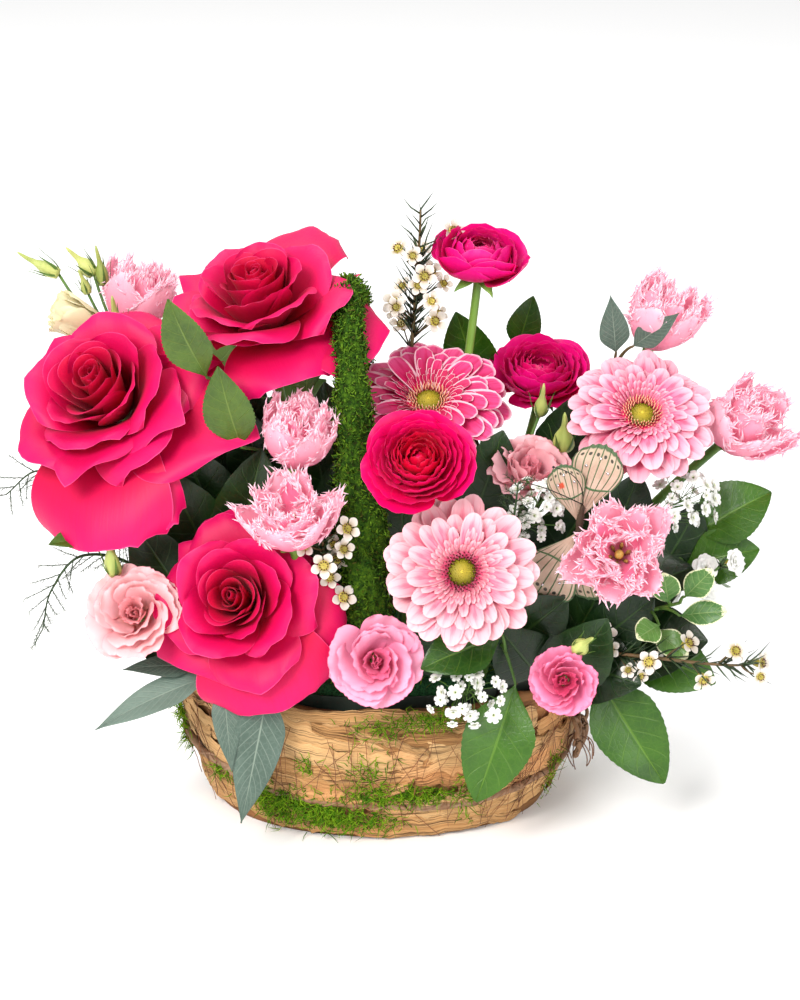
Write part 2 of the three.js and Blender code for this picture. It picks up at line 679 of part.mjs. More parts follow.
addFlower({
  ...kinds.ranunculus(26), name: 'ranunculus_right', heart: [81, 38, 225],
  facing: [0, -0.38, 0.93], foot: [43, 16],
});
addFlower({
  ...kinds.ranunculus(30), name: 'ranunculus_centre', heart: [18, -84, 221],
  facing: [-0.05, -0.68, 0.73], foot: [27, -24], leaving: [7, 6, -30],
});
addFlower({
  ...kinds.tulip(44, 0.38), name: 'tulip_back_left', heart: [-123, 68, 249],
  facing: [0.25, 0.13, 0.86], foot: [-60, 30], roll: 10,
});
addFlower({
  ...kinds.tulip(42, 0.34), name: 'tulip_left_upper', heart: [-40, -44, 216],
  facing: [0.1, -0.25, 0.96], foot: [-30, -12], roll: 30,
});
addFlower({
  ...kinds.tulip(42, 0.56), name: 'tulip_left_lower', heart: [-42, -78, 185],
  facing: [-0.05, -0.4, 0.91], foot: [-31, -30], leaving: [4, 14, -26],
});
addFlower({
  ...kinds.tulip(44, 0.42), name: 'tulip_back_right', heart: [141, 28, 251],
  facing: [0.3, -0.16, 0.93], foot: [57, 24], roll: 20,
});
addFlower({
  ...kinds.tulip(46, 0.42), name: 'tulip_right', heart: [183, 6, 201], facing: [0.55, -0.41, 0.7],
  foot: [74, 9],
});
addFlower({
  ...kinds.tulip(42, 0.62), name: 'tulip_front_right', heart: [114, -76, 165],
  facing: [-0.05, -0.85, 0.51], foot: [60, -24], leaving: [3, 30, -6],
});
addFlower({
  ...kinds.lisianthus(22), name: 'lisianthus_left', heart: [-118, -72, 137],
  facing: [-0.15, -0.81, 0.55], foot: [-66, -18], colour: 'lisianthusPeach', buds: [
    { along: 0.12, base: [-128, -54, 144], tip: [-131, -58, 166], radius: 4 },
    { along: 0.16, base: [-124, -54, 112], tip: [-131, -66, 106], radius: 4 },
  ],
});
addFlower({
  ...kinds.lisianthus(23), name: 'lisianthus_front', heart: [-2, -101, 118],
  facing: [0, -0.95, 0.33], foot: [17, -42], leaving: [12, 4, -10], lift: 34, colour: 'lisianthusPink',
});
addFlower({
  ...kinds.lisianthus(18), name: 'lisianthus_front_right', heart: [87, -96, 106],
  facing: [-0.1, -0.93, 0.38], foot: [54, -33], leaving: [0, 18, 2], lift: 46, colour: 'lisianthusDeep',
  buds: [
    { along: 0.16, base: [95, -74, 113], tip: [102, -84, 124], radius: 4.4 },
  ],
});
addFlower({
  ...kinds.lisianthus(22), name: 'lisianthus_centre', heart: [75, -30, 198],
  facing: [0.1, -0.5, 0.85], foot: [45, -11], colour: 'lisianthusPink', buds: [
    { along: 0.1, base: [90, -10, 192], tip: [90, -18, 214], radius: 5.5 },
    { along: 0.16, base: [79, 2, 206], tip: [80, -10, 226], radius: 3.4 },
  ],
});
addFlower({
  ...kinds.lisianthus(22), name: 'lisianthus_cream', seed: 109, heart: [-158, 46, 244],
  facing: [-0.8, -0.11, 0.53], foot: [-73, 12], colour: 'lisianthusCream',
  levels: null, rings: budRings(32), core: { radius: 3.4, height: 9 }, buds: [
    { along: 0.1, base: [-164, 70, 257], tip: [-184, 68, 269], radius: 3.6 },
    { along: 0.13, base: [-146, 70, 257], tip: [-159, 66, 272], radius: 4.2 },
    { along: 0.2, base: [-131, 34, 236], tip: [-133, 30, 258], radius: 4.6 },
  ],
});

// The butterfly ornament

const butterfly = { middle: [97, -47, 166], wire: 0.8, foot: [52, -44], face: [-0.2, -0.95, 0.2] };

// A wing is a flat blade that fans out from the body, its edge lightly scalloped
function wing({ from, to, width }, grow, fit) {
  const offset = (list) => list.map((value, k) => value + butterfly.middle[k]);
  return leaf({
    base: offset(from), tip: offset(to), width, face: butterfly.face, fold: 0, widest: 0.66, teeth: 0.03,
    stations: [0, 0.35, 0.7, 1],
  }, grow, fit);
}

addPiece('butterfly_pick', 'butterfly', 'matte', {
  bones: (grow) => {
    const middle = toPoint(butterfly.middle);
    const wire = stemCurve(middle.clone().add(point(0, 1, -8)), point(-4, 4, -20), butterfly.foot, 30);
    return union([
      bar(wire, evenly(4, () => butterfly.wire), 3, grow),
      spindle(middle.clone().add(point(-2, 0, -12)), middle.clone().add(point(1, -1, 12)), 1.7, grow),
    ]);
  },
  blades: [
    { from: [-1, 0, 3], to: [10, 5, 42], width: 27 },
    { from: [-1, 0, 2], to: [-17, 2, 30], width: 20 },
    { from: [-2, 0, -3], to: [-30, 1, -14], width: 30 },
    { from: [0, 0, -4], to: [5, 2, -36], width: 24 },
  ].map((each) => (grow, fit) => wing(each, grow, fit)),
});

// Fillers and foliage

// A flower with five round petals on a short green cup, seen as a lobed disc
function starFlower(centre, facing, radius, grow) {
  const frame = flowerFrame(centre, facing, 0);
  const rim = [];
  for (let k = 0; k < 10; k += 1) {
    const angle = (Math.PI * k) / 5;
    const reach = (k % 2 === 0 ? radius : radius * 0.56) + grow;
    rim.push(point(reach * Math.cos(angle), reach * Math.sin(angle), 0).applyMatrix4(frame));
  }
  const top = point(0, 0, radius * 0.12 + grow).applyMatrix4(frame);
  const bottom = point(0, 0, -radius * 0.62 - grow).applyMatrix4(frame);
  const index = [];
  for (let k = 0; k < 10; k += 1) {
    index.push(10, k, (k + 1) % 10, 11, (k + 1) % 10, k);
  }
  const geometry = new THREE.BufferGeometry().setFromPoints([...rim, top, bottom]);
  geometry.setIndex(index);
  return solidOf(geometry);
}

// A branching spray: side twigs turn round the main stem by the golden angle, each with a
// flower at its end, and needles stand between them
function flowerSpray(spray) {
  const curve = stemCurve(toPoint(spray.tip), toPoint(spray.leaving), spray.foot, spray.lift);
  const goldenAngle = 137.5;
  const twigs = [];
  const needles = [];
  const next = seededSeries(spray.seed);
  for (let k = 0; k < spray.flowers; k += 1) {
    const share = k / (spray.flowers - 1);
    const along = lerp(spray.start, spray.end, share);
    const root = curve.getPointAt(along);
    const tangent = curve.getTangentAt(along).negate();
    const frame = flowerFrame(root, tangent, goldenAngle * k);
    const reach = spray.reach * (0.75 + 0.5 * next());
    const end = point(reach * 0.8, 0, reach * 0.66).applyMatrix4(frame);
    const towards = end.clone().sub(root).normalize().add(toPoint(spray.look)).normalize();
    twigs.push({ root, end, towards, along });
    const needleRoot = curve.getPointAt(Math.min(along + 0.012, 1));
    const lean = flowerFrame(needleRoot, tangent, goldenAngle * k + 90);
    const needleEnd = point(spray.needle * 0.6, 0, spray.needle * 0.8).applyMatrix4(lean);
    needles.push({ root: needleRoot, end: needleEnd });
  }
  return { curve, twigs, needles };
}

function addSpray(name, colour, spray) {
  const parts = flowerSpray(spray);
  const radiusAt = (t) => lerp(0.8, spray.stemRadius, Math.min(1, 3 * t));
  addPiece(name, colour, 'petal', {
    bones: (grow) => bar(parts.curve, evenly(5, radiusAt), 4, grow),
    blades: [
      ...parts.twigs.map((each) => (grow, fit) => {
        const end = each.root.clone().lerp(each.end, fit);
        return union([
          needle(end, each.root, 0.9, grow), starFlower(end, each.towards, spray.radius, grow),
        ]);
      }),
      ...parts.needles.map((each) => (grow, fit) => needle(
        each.root, each.root.clone().lerp(each.end, fit), 0.8, grow,
      )),
    ],
  });
}

addSpray('waxflower_back', 'waxflower', {
  seed: 3, tip: [20, 38, 300], leaving: [0, 0, -40], foot: [4, 30], start: 0.02, end: 0.3, flowers: 7,
  reach: 15, needle: 15, radius: 6, stemRadius: 1.4, look: [0, -0.8, 0.4], lift: 60,
});
addSpray('waxflower_left', 'waxflower', {
  seed: 7, tip: [-27, -68, 167], leaving: [1, 12, -20], foot: [-21, -46], start: 0.0, end: 0.36, flowers: 6,
  reach: 13, needle: 12, radius: 5.6, stemRadius: 1.2, look: [0, -0.9, 0.2], lift: 40,
});
addSpray('waxflower_right', 'waxflower', {
  seed: 9, tip: [176, -76, 106], leaving: [-30, 2, -4], foot: [51, -22], start: 0.0, end: 0.5, flowers: 7,
  reach: 13, needle: 14, radius: 5.6, stemRadius: 1.3, look: [0, -0.7, 0.5], lift: 52,
});

// Gypsophila: three heads of fine branches on one stem, each with small round florets
const gypsophilaHeads = [
  { middle: [76, -42, 174], spread: [14, 8, 16], florets: 5, seed: 2 },
  { middle: [152, -24, 172], spread: [16, 8, 18], florets: 5, seed: 4 },
  { middle: [35, -84, 93], spread: [12, 4, 14], florets: 5, seed: 6 },
];
const gypsophilaFork = [37, -22, 98];
const gypsophilaFoot = [32, -10];

function addGypsophila() {
  const fork = toPoint(gypsophilaFork);
  const main = new THREE.LineCurve3(fork, point(gypsophilaFoot[0], gypsophilaFoot[1], stemFootHeight));
  const heads = gypsophilaHeads.map((head) => {
    const middle = toPoint(head.middle);
    const next = seededSeries(head.seed);
    const bend = fork.clone().lerp(middle, 0.5).add(point(0, 0, 10));
    const curve = new THREE.QuadraticBezierCurve3(fork, bend, middle);
    const florets = Array.from({ length: head.florets }, (_, k) => {
      const height = 1 - (2 * (k + 0.5)) / head.florets;
      const angle = degrees(137.5 * k);
      const level = Math.sqrt(1 - height * height);
      const reach = 0.75 + 0.35 * next();
      return middle.clone().add(point(
        head.spread[0] * reach * level * Math.cos(angle),
        head.spread[1] * reach * level * Math.sin(angle),
        head.spread[2] * reach * height,
      ));
    });
    return { curve, florets, middle };
  });
  addPiece('gypsophila_spray', 'gypsophila', 'petal', {
    bones: (grow) => union([
      bar(main, evenly(1, () => 1.2), 4, grow),
      ...heads.map((head) => bar(head.curve, evenly(4, () => 0.8), 3, grow)),
    ]),
    blades: heads.flatMap((head) => head.florets.map((floret, k) => (grow, fit) => {
      const root = head.curve.getPointAt(0.98 - (0.36 * k) / head.florets.length);
      const end = root.clone().lerp(floret, fit);
      return stalkedFloret(root, end, 2.7, grow);
    })),
  });
}

// A round floret on a thin stalk that starts from a point inside its branch
function stalkedFloret(root, end, radius, grow) {
  const line = new THREE.LineCurve3(root, end);
  const { tangents, normals, binormals } = line.computeFrenetFrames(1, false);
  const ring = (centre, reach) => [0, 1, 2, 3].map((k) => centre.clone()
    .addScaledVector(normals[0], (reach + grow) * Math.cos((Math.PI * k) / 2))
    .addScaledVector(binormals[0], (reach + grow) * Math.sin((Math.PI * k) / 2)));
  const neck = ring(end.clone().addScaledVector(tangents[0], -radius - grow), radius * 0.3);
  const belly = ring(end, radius);
  const top = end.clone().addScaledVector(tangents[0], radius + grow);
  const index = [];
  for (let k = 0; k < 4; k += 1) {
    const next = (k + 1) % 4;
    index.push(8, next, k, k, next, 4 + k, next, 4 + next, 4 + k, 4 + k, 4 + next, 9);
  }
  const geometry = new THREE.BufferGeometry().setFromPoints([...neck, ...belly, root, top]);
  geometry.setIndex(index);
  return solidOf(geometry);
}

addGypsophila();

// A leafy stem: `leaves` spring from it at the share `along` of the way down from its tip
function addLeafyStem(name, colour, plant) {
  const curve = stemCurve(toPoint(plant.tip), toPoint(plant.leaving), plant.foot, plant.lift);
  const radiusAt = (t) => lerp(0.8, plant.stemRadius, Math.min(1, 2 * t));
  addPiece(name, colour, 'leaf', {
    bones: (grow) => bar(curve, evenly(5, radiusAt), 4, grow),
    blades: plant.leaves.map((each) => stalkedLeaf(curve, { ...plant.form, ...each })),
  });
}

const salalForm = { teeth: 0.035, fold: 0.1, stations: [0, 0.24, 0.48, 0.74, 1] };

addLeafyStem('salal_front', 'salal', {
  tip: [61, -64, 108], leaving: [-2, 9, 4], foot: [47, -37], lift: 42, stemRadius: 1.4, form: salalForm,
  leaves: [
    { along: 0.06, base: [66, -68, 92], tip: [47, -85, 36], width: 36, face: [0, -1, 0.15], sag: 0.04 },
    { along: 0.0, base: [59, -74, 121], tip: [20, -88, 110], width: 27, face: [0.1, -0.75, 0.7], sag: 0.03 },
  ],
});
addLeafyStem('salal_right', 'salal', {
  tip: [150, -8, 140], leaving: [-18, 4, -10], foot: [80, 20], lift: 40, stemRadius: 1.6, form: salalForm,
  leaves: [
    { along: 0.0, base: [156, -10, 146], tip: [194, -6, 168], width: 34, face: [0, -0.7, 0.7], sag: 0.05 },
    { along: 0.06, base: [152, -14, 132], tip: [188, -18, 142], width: 28, face: [0.2, -0.8, 0.5] },
    { along: 0.3, base: [122, -32, 98], tip: [166, -46, 82], width: 32, face: [0.1, -0.9, 0.35], sag: 0.05 },
    { along: 0.45, base: [106, -46, 88], tip: [141, -62, 34], width: 36, face: [0, -0.95, 0.2], sag: 0.06 },
    { along: 0.2, base: [142, 6, 118], tip: [180, 34, 100], width: 38, face: [0.5, 0.2, 0.8], sag: 0.06 },
  ],
});
addLeafyStem('salal_back_left', 'salal', {
  tip: [-82, 66, 176], leaving: [6, -6, -24], foot: [-44, 40], lift: 40, stemRadius: 1.6, form: salalForm,
  leaves: [
    { along: 0.0, base: [-84, 70, 182], tip: [-98, 88, 234], width: 36, face: [-0.1, 0.9, 0.3], sag: -0.05 },
    { along: 0.14, base: [-92, 62, 152], tip: [-146, 70, 160], width: 38, face: [-0.3, 0.5, 0.8], sag: 0.05 },
    { along: 0.3, base: [-66, 68, 134], tip: [-70, 112, 116], width: 40, face: [0, 0.5, 0.85], sag: 0.06 },
    { along: 0.2, base: [-58, 72, 160], tip: [-30, 98, 190], width: 36, face: [0.2, 0.8, 0.5], sag: 0.03 },
  ],
});
addLeafyStem('salal_back_right', 'salal', {
  tip: [56, 62, 196], leaving: [-2, -6, -24], foot: [34, 40], lift: 40, stemRadius: 1.6, form: salalForm,
  leaves: [
    { along: 0.0, base: [52, 62, 202], tip: [38, 44, 244], width: 28, face: [-0.2, -0.8, 0.4], sag: 0.04 },
    { along: 0.06, base: [70, 74, 214], tip: [78, 72, 244], width: 18, face: [0, -0.9, 0.3], sag: 0.04 },
    { along: 0.2, base: [76, 66, 164], tip: [118, 78, 178], width: 38, face: [0.2, 0.5, 0.8], sag: 0.05 },
    { along: 0.3, base: [52, 72, 142], tip: [50, 116, 126], width: 40, face: [0, 0.5, 0.85], sag: 0.06 },
    { along: 0.44, base: [74, 62, 116], tip: [118, 84, 92], width: 38, face: [0.4, 0.4, 0.8], sag: 0.06 },
  ],
});

const eucalyptusForm = { fold: 0.05, stations: [0, 0.3, 0.65, 1] };

addLeafyStem('eucalyptus_left', 'eucalyptus', {
  tip: [-74, -60, 99], leaving: [3, 8, 2], foot: [-58, -34], lift: 40, stemRadius: 1.3, form: eucalyptusForm,
  leaves: [
    { along: 0.06, base: [-82, -62, 94], tip: [-140, -64, 65], width: 18, face: [-0.1, -0.6, 0.8] },
    { along: 0.0, base: [-76, -68, 93], tip: [-72, -83, 52], width: 14, face: [0, -1, 0.1], sag: 0.02 },
    { along: 0.04, base: [-54, -68, 91], tip: [-68, -84, 24], width: 25, face: [0.1, -1, 0.1], sag: 0.03 },
    { along: 0.02, base: [-88, -57, 96], tip: [-126, -56, 94], width: 14, face: [0, -0.5, 0.85], sag: 0.05 },
  ],
});
addLeafyStem('eucalyptus_right', 'eucalyptus', {
  tip: [119, 22, 228], leaving: [-8, 2, -26], foot: [50, 35], lift: 50, stemRadius: 1.2, form: eucalyptusForm,
  leaves: [
    { along: 0.04, base: [117, 19, 232], tip: [113, 12, 264], width: 15, face: [0, -0.95, 0.3], sag: 0.03 },
    { along: 0.0, base: [125, 17, 236], tip: [146, 3, 258], width: 13, face: [0, -0.95, 0.3], sag: 0.03 },
    { along: 0.2, base: [112, 44, 186], tip: [136, 72, 196], width: 17, face: [0.3, 0.5, 0.8], sag: 0.04 },
    { along: 0.3, base: [92, 50, 160], tip: [96, 88, 160], width: 17, face: [0, 0.5, 0.8], sag: 0.04 },
  ],
});

// The pale-edged leaves on the right, on one twiggy stem
addLeafyStem('pittosporum_right', 'pittosporum', {
  tip: [146, -52, 128], leaving: [-10, 6, -6], foot: [68, -14], lift: 36, stemRadius: 1.2,
  form: { fold: 0.06, stations: [0, 0.35, 0.75, 1] },
  leaves: [
    { along: 0.0, base: [148, -54, 132], tip: [160, -62, 150], width: 14, face: [0, -0.9, 0.4], sag: 0.04 },
    { along: 0.05, base: [140, -56, 130], tip: [136, -66, 150], width: 14, face: [0, -0.9, 0.4], sag: 0.04 },
    { along: 0.1, base: [146, -54, 122], tip: [168, -62, 128], width: 13, face: [0, -0.8, 0.6], sag: 0.04 },
    { along: 0.15, base: [136, -56, 118], tip: [124, -72, 118], width: 14, face: [0, -0.8, 0.6], sag: 0.04 },
    { along: 0.25, base: [134, -48, 112], tip: [150, -60, 102], width: 14, face: [0, -0.8, 0.6], sag: 0.04 },
  ],
});

// White blossoms beside them
addSpray('white_stock_right', 'stock', {
  seed: 15, tip: [166, -36, 140], leaving: [-10, 24, -30], foot: [78, 12], start: 0.0, end: 0.3, flowers: 5,
  reach: 8, needle: 8, radius: 5, stemRadius: 1.3, look: [0.2, -0.8, 0.3], lift: 40,
});

// A feathery frond: an arched blade cut to its rib on both sides, so that only needles are left.
// Its room is the blade before the cuts.
function frondBlade(curve, frond, grow, fit) {
  const side = toPoint(frond.side);
  const half = bladeThickness / 2 + grow;
  const stations = Array.from({ length: frond.needles + 1 }, (_, k) => (frond.end * k) / frond.needles);
  const rows = stations.map((along, k) => {
    const centre = curve.getPointAt(along);
    const forward = curve.getTangentAt(along).negate();
    const across = side.clone().addScaledVector(forward, -side.dot(forward)).normalize();
    const normal = across.clone().cross(forward);
    const share = k / frond.needles;
    const reach = fit * frond.reach * (0.4 + 0.6 * Math.sin(Math.PI * Math.min(1, 0.25 + 0.8 * share)));
    const tip = (hand) => centre.clone()
      .addScaledVector(across, hand * (reach + grow))
      .addScaledVector(forward, reach * 0.8);
    const edge = (hand) => (grow ? tip(hand) : centre.clone().addScaledVector(across, hand * frond.ribHalf));
    return { normal, edges: [-1, 1].map(edge), tips: [-1, 1].map(tip) };
  });
  const outline = [];
  const normals = [];
  const add = (place, normal) => {
    outline.push(place);
    normals.push(normal);
    return outline.length - 1;
  };
  const edges = rows.map((row) => row.edges.map((place) => add(place, row.normal)));
  const faces = [];
  for (let k = 0; k < frond.needles; k += 1) {
    const [left, right] = edges[k];
    const [nextLeft, nextRight] = edges[k + 1];
    faces.push([left, nextLeft, right], [right, nextLeft, nextRight]);
    if (grow === 0) {
      faces.push([left, add(rows[k].tips[0], rows[k].normal), nextLeft]);
      faces.push([right, nextRight, add(rows[k].tips[1], rows[k].normal)]);
    }
  }
  return thinBlade(outline, normals, faces, half);
}

// A closed blade from the triangles of its middle surface, which is moved both ways by `half`
function thinBlade(points, normals, faces, half) {
  const count = points.length;
  const face = (way) => points.map((place, k) => place.clone().addScaledVector(normals[k], way * half));
  const sides = [...face(1), ...face(-1)];
  const index = [];
  const loose = new Map();
  faces.forEach(([a, b, c]) => {
    index.push(a, b, c, count + a, count + c, count + b);
    [[a, b], [b, c], [c, a]].forEach(([from, to]) => {
      if (!loose.delete(`${to},${from}`)) loose.set(`${from},${to}`, [from, to]);
    });
  });
  loose.forEach(([from, to]) => {
    index.push(from, count + from, to, to, count + from, count + to);
  });
  const geometry = new THREE.BufferGeometry().setFromPoints(sides);
  geometry.setIndex(index);
  return solidOf(geometry);
}

function addFrond(name, frond) {
  const points = [...frond.rib.map(toPoint), point(frond.foot[0], frond.foot[1], stemFootHeight)];
  const curve = new THREE.CatmullRomCurve3(points);
  const ribStations = evenly(4, () => 1).map(([t, radius]) => [lerp(frond.end - 0.01, 1, t), radius]);
  addPiece(name, 'fern', 'leaf', {
    bones: (grow) => bar(curve, ribStations, 3, grow),
    blades: [(grow, fit) => frondBlade(curve, frond, grow, fit)],
  });
}

addFrond('asparagus_fern_left', {
  rib: [[-187, 2, 163], [-170, 4, 175], [-148, 8, 160], [-112, 16, 118]], foot: [-73, 26], needles: 14,
  end: 0.52, reach: 13, ribHalf: 0.9, side: [0.1, -0.3, 1],
});
addFrond('asparagus_fern_centre', {
  rib: [[66, -64, 196], [64, -62, 176], [58, -50, 130]], foot: [42, -22], needles: 8,
  end: 0.4, reach: 7, ribHalf: 0.9, side: [1, 0, 0.1],
});

// The liner and the foam fill the basket. The stems stand in holes in the foam.

const holderGap = clearance + 0.1;

function insideHalf(share, inset) {
  const half = basketHalf(Math.min(share, 1));
  return { x: half.x - basketWall - inset, y: half.y - basketWall - inset };
}

addPiece('basket_liner', 'liner', 'matte', {
  filling: (grow) => {
    const rings = [];
    const floorTop = basketFloor + holderGap;
    for (const share of [floorTop / basketHeight, 0.5, linerTop / basketHeight]) {
      const half = insideHalf(share, holderGap + 0.9 - grow);
      rings.push(ellipseRing(half.x, half.y, Math.max(floorTop, basketHeight * share), basketSides));
    }
    for (const share of [linerTop / basketHeight, 0.5, (floorTop + linerThickness) / basketHeight]) {
      const half = insideHalf(share, holderGap + 0.9 + linerThickness + grow);
      rings.push(ellipseRing(half.x, half.y, basketHeight * share, basketSides));
    }
    return loft(rings);
  },
});

addPiece('floral_foam', 'foam', 'matte', {
  filling: () => {
    const bottom = basketFloor + holderGap + linerThickness + clearance;
    const inset = 2 * holderGap + 1.4 + linerThickness;
    const rings = [];
    const levels = [[bottom, 0.6], [basketHeight * 0.5, 0.3], [foamTop - 5, 0.3], [foamTop, 5]];
    for (const [height, extra] of levels) {
      const half = insideHalf(height / basketHeight, inset + extra);
      rings.push(ellipseRing(half.x, half.y, height, basketSides));
    }
    return loft(rings);
  },
});

// Putting the pieces together

const materialFinish = {
  matte: { roughness: 0.9, metalness: 0 },
  leaf: { roughness: 0.5, metalness: 0 },
  petal: { roughness: 0.6, metalness: 0 },
};

function boxesMeet(a, b) {
  return [0, 1, 2].every((k) => a.min[k] < b.max[k] && b.min[k] < a.max[k]);
}

// The largest joined body of a solid. Scraps that a cut sets free are dropped.
function largestBody(solid) {
  const bodies = solid.decompose();
  return bodies.reduce((best, body) => (body.volume() > best.volume() ? body : best));
}

const withBox = (solid) => ({ solid, box: solid.boundingBox() });

const pieces = recipes.map((recipe) => ({
  ...recipe,
  firm: recipe.bones ? recipe.bones(0) : null,
  room: recipe.bones ? [withBox(recipe.bones(clearance))] : [],
}));

function meetsAny(solid, obstacles) {
  const box = solid.boundingBox();
  return obstacles.some((other) => boxesMeet(box, other.box) && !solid.intersect(other.solid).isEmpty());
}

// A blade at the largest fit that touches none of the obstacles, or nothing
function fittedBlade(make, obstacles) {
  for (const fit of fitSteps) {
    const solid = make(0, fit);
    if (!meetsAny(solid, obstacles)) return { solid, room: withBox(make(clearance, fit)) };
  }
  return null;
}

const arrangement = new THREE.Group();
const petalsFirst = (piece) => (piece.finish === 'petal' ? 0 : 1);
const byTurn = [...pieces].sort((a, b) => petalsFirst(a) - petalsFirst(b));
byTurn.forEach((piece) => {
  const obstacles = pieces.filter((other) => other !== piece).flatMap((other) => other.room);
  const blades = (piece.blades ?? []).map((make) => fittedBlade(make, obstacles)).filter((each) => each);
  let solid = union([piece.firm, ...blades.map((each) => each.solid)]);
  piece.room = [...piece.room, ...blades.map((each) => each.room)];
  if (piece.filling) {
    solid = piece.filling(0);
    const box = solid.boundingBox();
    obstacles.filter((other) => boxesMeet(box, other.box)).forEach((other) => {
      solid = solid.subtract(other.solid);
    });
    piece.room = [withBox(piece.filling(clearance))];
  }
  if (piece.head) {
    const fitted = headFits.find((fit) => !meetsAny(piece.head(0, fit), obstacles)) ?? cutHeadFit;
    solid = union([piece.head(0, fitted), solid]);
    const box = solid.boundingBox();
    obstacles.filter((other) => boxesMeet(box, other.box)).forEach((other) => {
      solid = solid.subtract(other.solid);
    });
    piece.room = [...piece.room, withBox(piece.head(clearance, fitted))];
  }
  const body = largestBody(largestBody(solid).simplify(tidyTolerance));
  const material = new THREE.MeshStandardMaterial({
    color: colours[piece.colour], ...materialFinish[piece.finish], side: THREE.FrontSide,
  });
  const mesh = new THREE.Mesh(geometryOf(body), material);
  mesh.name = piece.name;
  arrangement.add(mesh);
});

export default arrangement;
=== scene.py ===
import bpy
import numpy as np
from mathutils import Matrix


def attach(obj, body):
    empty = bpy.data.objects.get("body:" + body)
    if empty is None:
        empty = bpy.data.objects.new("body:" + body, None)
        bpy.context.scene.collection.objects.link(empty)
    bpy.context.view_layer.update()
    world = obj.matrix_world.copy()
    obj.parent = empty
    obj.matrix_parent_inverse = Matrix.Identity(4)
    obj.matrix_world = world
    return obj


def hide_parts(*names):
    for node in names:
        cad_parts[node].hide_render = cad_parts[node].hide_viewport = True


# Lengths in the recipes are millimetres in the basket's frame: +X right, +Y away, +Z up,
# the origin under the middle of the basket. Angles are degrees.
millimetre = 0.001

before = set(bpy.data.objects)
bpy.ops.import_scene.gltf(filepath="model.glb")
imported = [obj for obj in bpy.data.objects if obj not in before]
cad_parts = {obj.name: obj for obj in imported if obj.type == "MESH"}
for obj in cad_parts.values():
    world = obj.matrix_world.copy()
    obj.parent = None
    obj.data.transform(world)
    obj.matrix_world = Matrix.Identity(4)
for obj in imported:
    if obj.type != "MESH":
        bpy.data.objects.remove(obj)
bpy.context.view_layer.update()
print("The packed basket is loaded")


# The camera, the floor and the lights

cameraValues = {"place": (9.88, -1334.87, 700.28), "downward": 22.0, "focalLength": 103.85}
studioValues = {
    "floorHalf": 6.0, "floorShade": 0.95, "worldShade": 0.97, "worldStrength": 0.66,
    # name: place in metres, side in metres, watts, colour
    "lights": {
        "keyBox": ((-0.9, -1.7, 1.6), 0.9, 64, (1.0, 0.985, 0.965)),
        "fillBox": ((1.3, -1.7, 0.7), 1.3, 24, (0.98, 0.99, 1.0)),
        "topBox": ((-0.3, 0.5, 1.9), 1.0, 22, (1.0, 1.0, 1.0)),
    },
}


def aimAt(thing, place, target):
    # Turns a lamp so that its -Z looks from its place to the target
    away = np.asarray(place) - np.asarray(target)
    thing.location = place
    thing.rotation_euler = (np.arctan2(np.hypot(away[0], away[1]), away[2]), 0,
                            np.arctan2(away[0], -away[1]))


def link(thing):
    bpy.context.scene.collection.objects.link(thing)


def setStudio():
    lens = bpy.data.cameras.new("studioCamera")
    lens.lens = cameraValues["focalLength"]
    lens.clip_end = 50
    camera = bpy.data.objects.new("studioCamera", lens)
    camera.location = [each * millimetre for each in cameraValues["place"]]
    camera.rotation_euler = (np.radians(90 - cameraValues["downward"]), 0, 0)
    link(camera)
    bpy.context.scene.camera = camera

    floorMesh = bpy.data.meshes.new("studioFloor")
    half = studioValues["floorHalf"]
    floorMesh.from_pydata([(-half, -half, 0), (half, -half, 0), (half, half, 0), (-half, half, 0)],
                          [], [(0, 1, 2, 3)])
    floor = bpy.data.objects.new("studioFloor", floorMesh)
    link(floor)
    paper = Finish("studioPaper", {"Roughness": 0.9, "Specular IOR Level": 0.1})
    shade = studioValues["floorShade"]
    paper.shader.inputs["Base Color"].default_value = (shade, shade, shade, 1)
    floorMesh.materials.append(paper.material)

    for name, (place, side, watts, colour) in studioValues["lights"].items():
        light = bpy.data.lights.new(name, "AREA")
        light.size = side
        light.energy = watts
        light.color = colour
        lamp = bpy.data.objects.new(name, light)
        aimAt(lamp, place, (0, 0, 0.15))
        link(lamp)

    world = bpy.data.worlds.new("studioWorld")
    world.use_nodes = True
    background = world.node_tree.nodes["Background"]
    background.inputs["Color"].default_value = (*[studioValues["worldShade"]] * 3, 1)
    background.inputs["Strength"].default_value = studioValues["worldStrength"]
    bpy.context.scene.world = world
    bpy.context.scene.view_settings.view_transform = "Standard"


# Finishes

def paint(red, green, blue):
    # Screen values from 0 to 255 as the linear colour that a shader takes
    levels = np.array([red, green, blue]) / 255
    linear = np.where(levels > 0.04045, ((levels + 0.055) / 1.055) ** 2.4, levels / 12.92)
    return (*linear.tolist(), 1.0)


def setSocket(socket, value):
    # Finishes give every colour as screen values
    socket.default_value = paint(*value) if socket.type == "RGBA" else value


class Wire:
    # A socket of a finish. Sums, products and powers of wires add Math nodes.
    def __init__(self, finish, socket):
        self.finish = finish
        self.socket = socket

    def maths(self, operation, *others):
        values = dict(enumerate((self, *others)))
        return self.finish.node("Math", {"operation": operation}, values)

    def __add__(self, other):
        return self.maths("ADD", other)

    def __sub__(self, other):
        return self.maths("SUBTRACT", other)

    def __rsub__(self, other):
        return self * -1 + other

    def __mul__(self, other):
        return self.maths("MULTIPLY", other)

    def __pow__(self, other):
        return self.maths("POWER", other)

    def __abs__(self):
        return self.maths("ABSOLUTE")

    __radd__ = __add__
    __rmul__ = __mul__


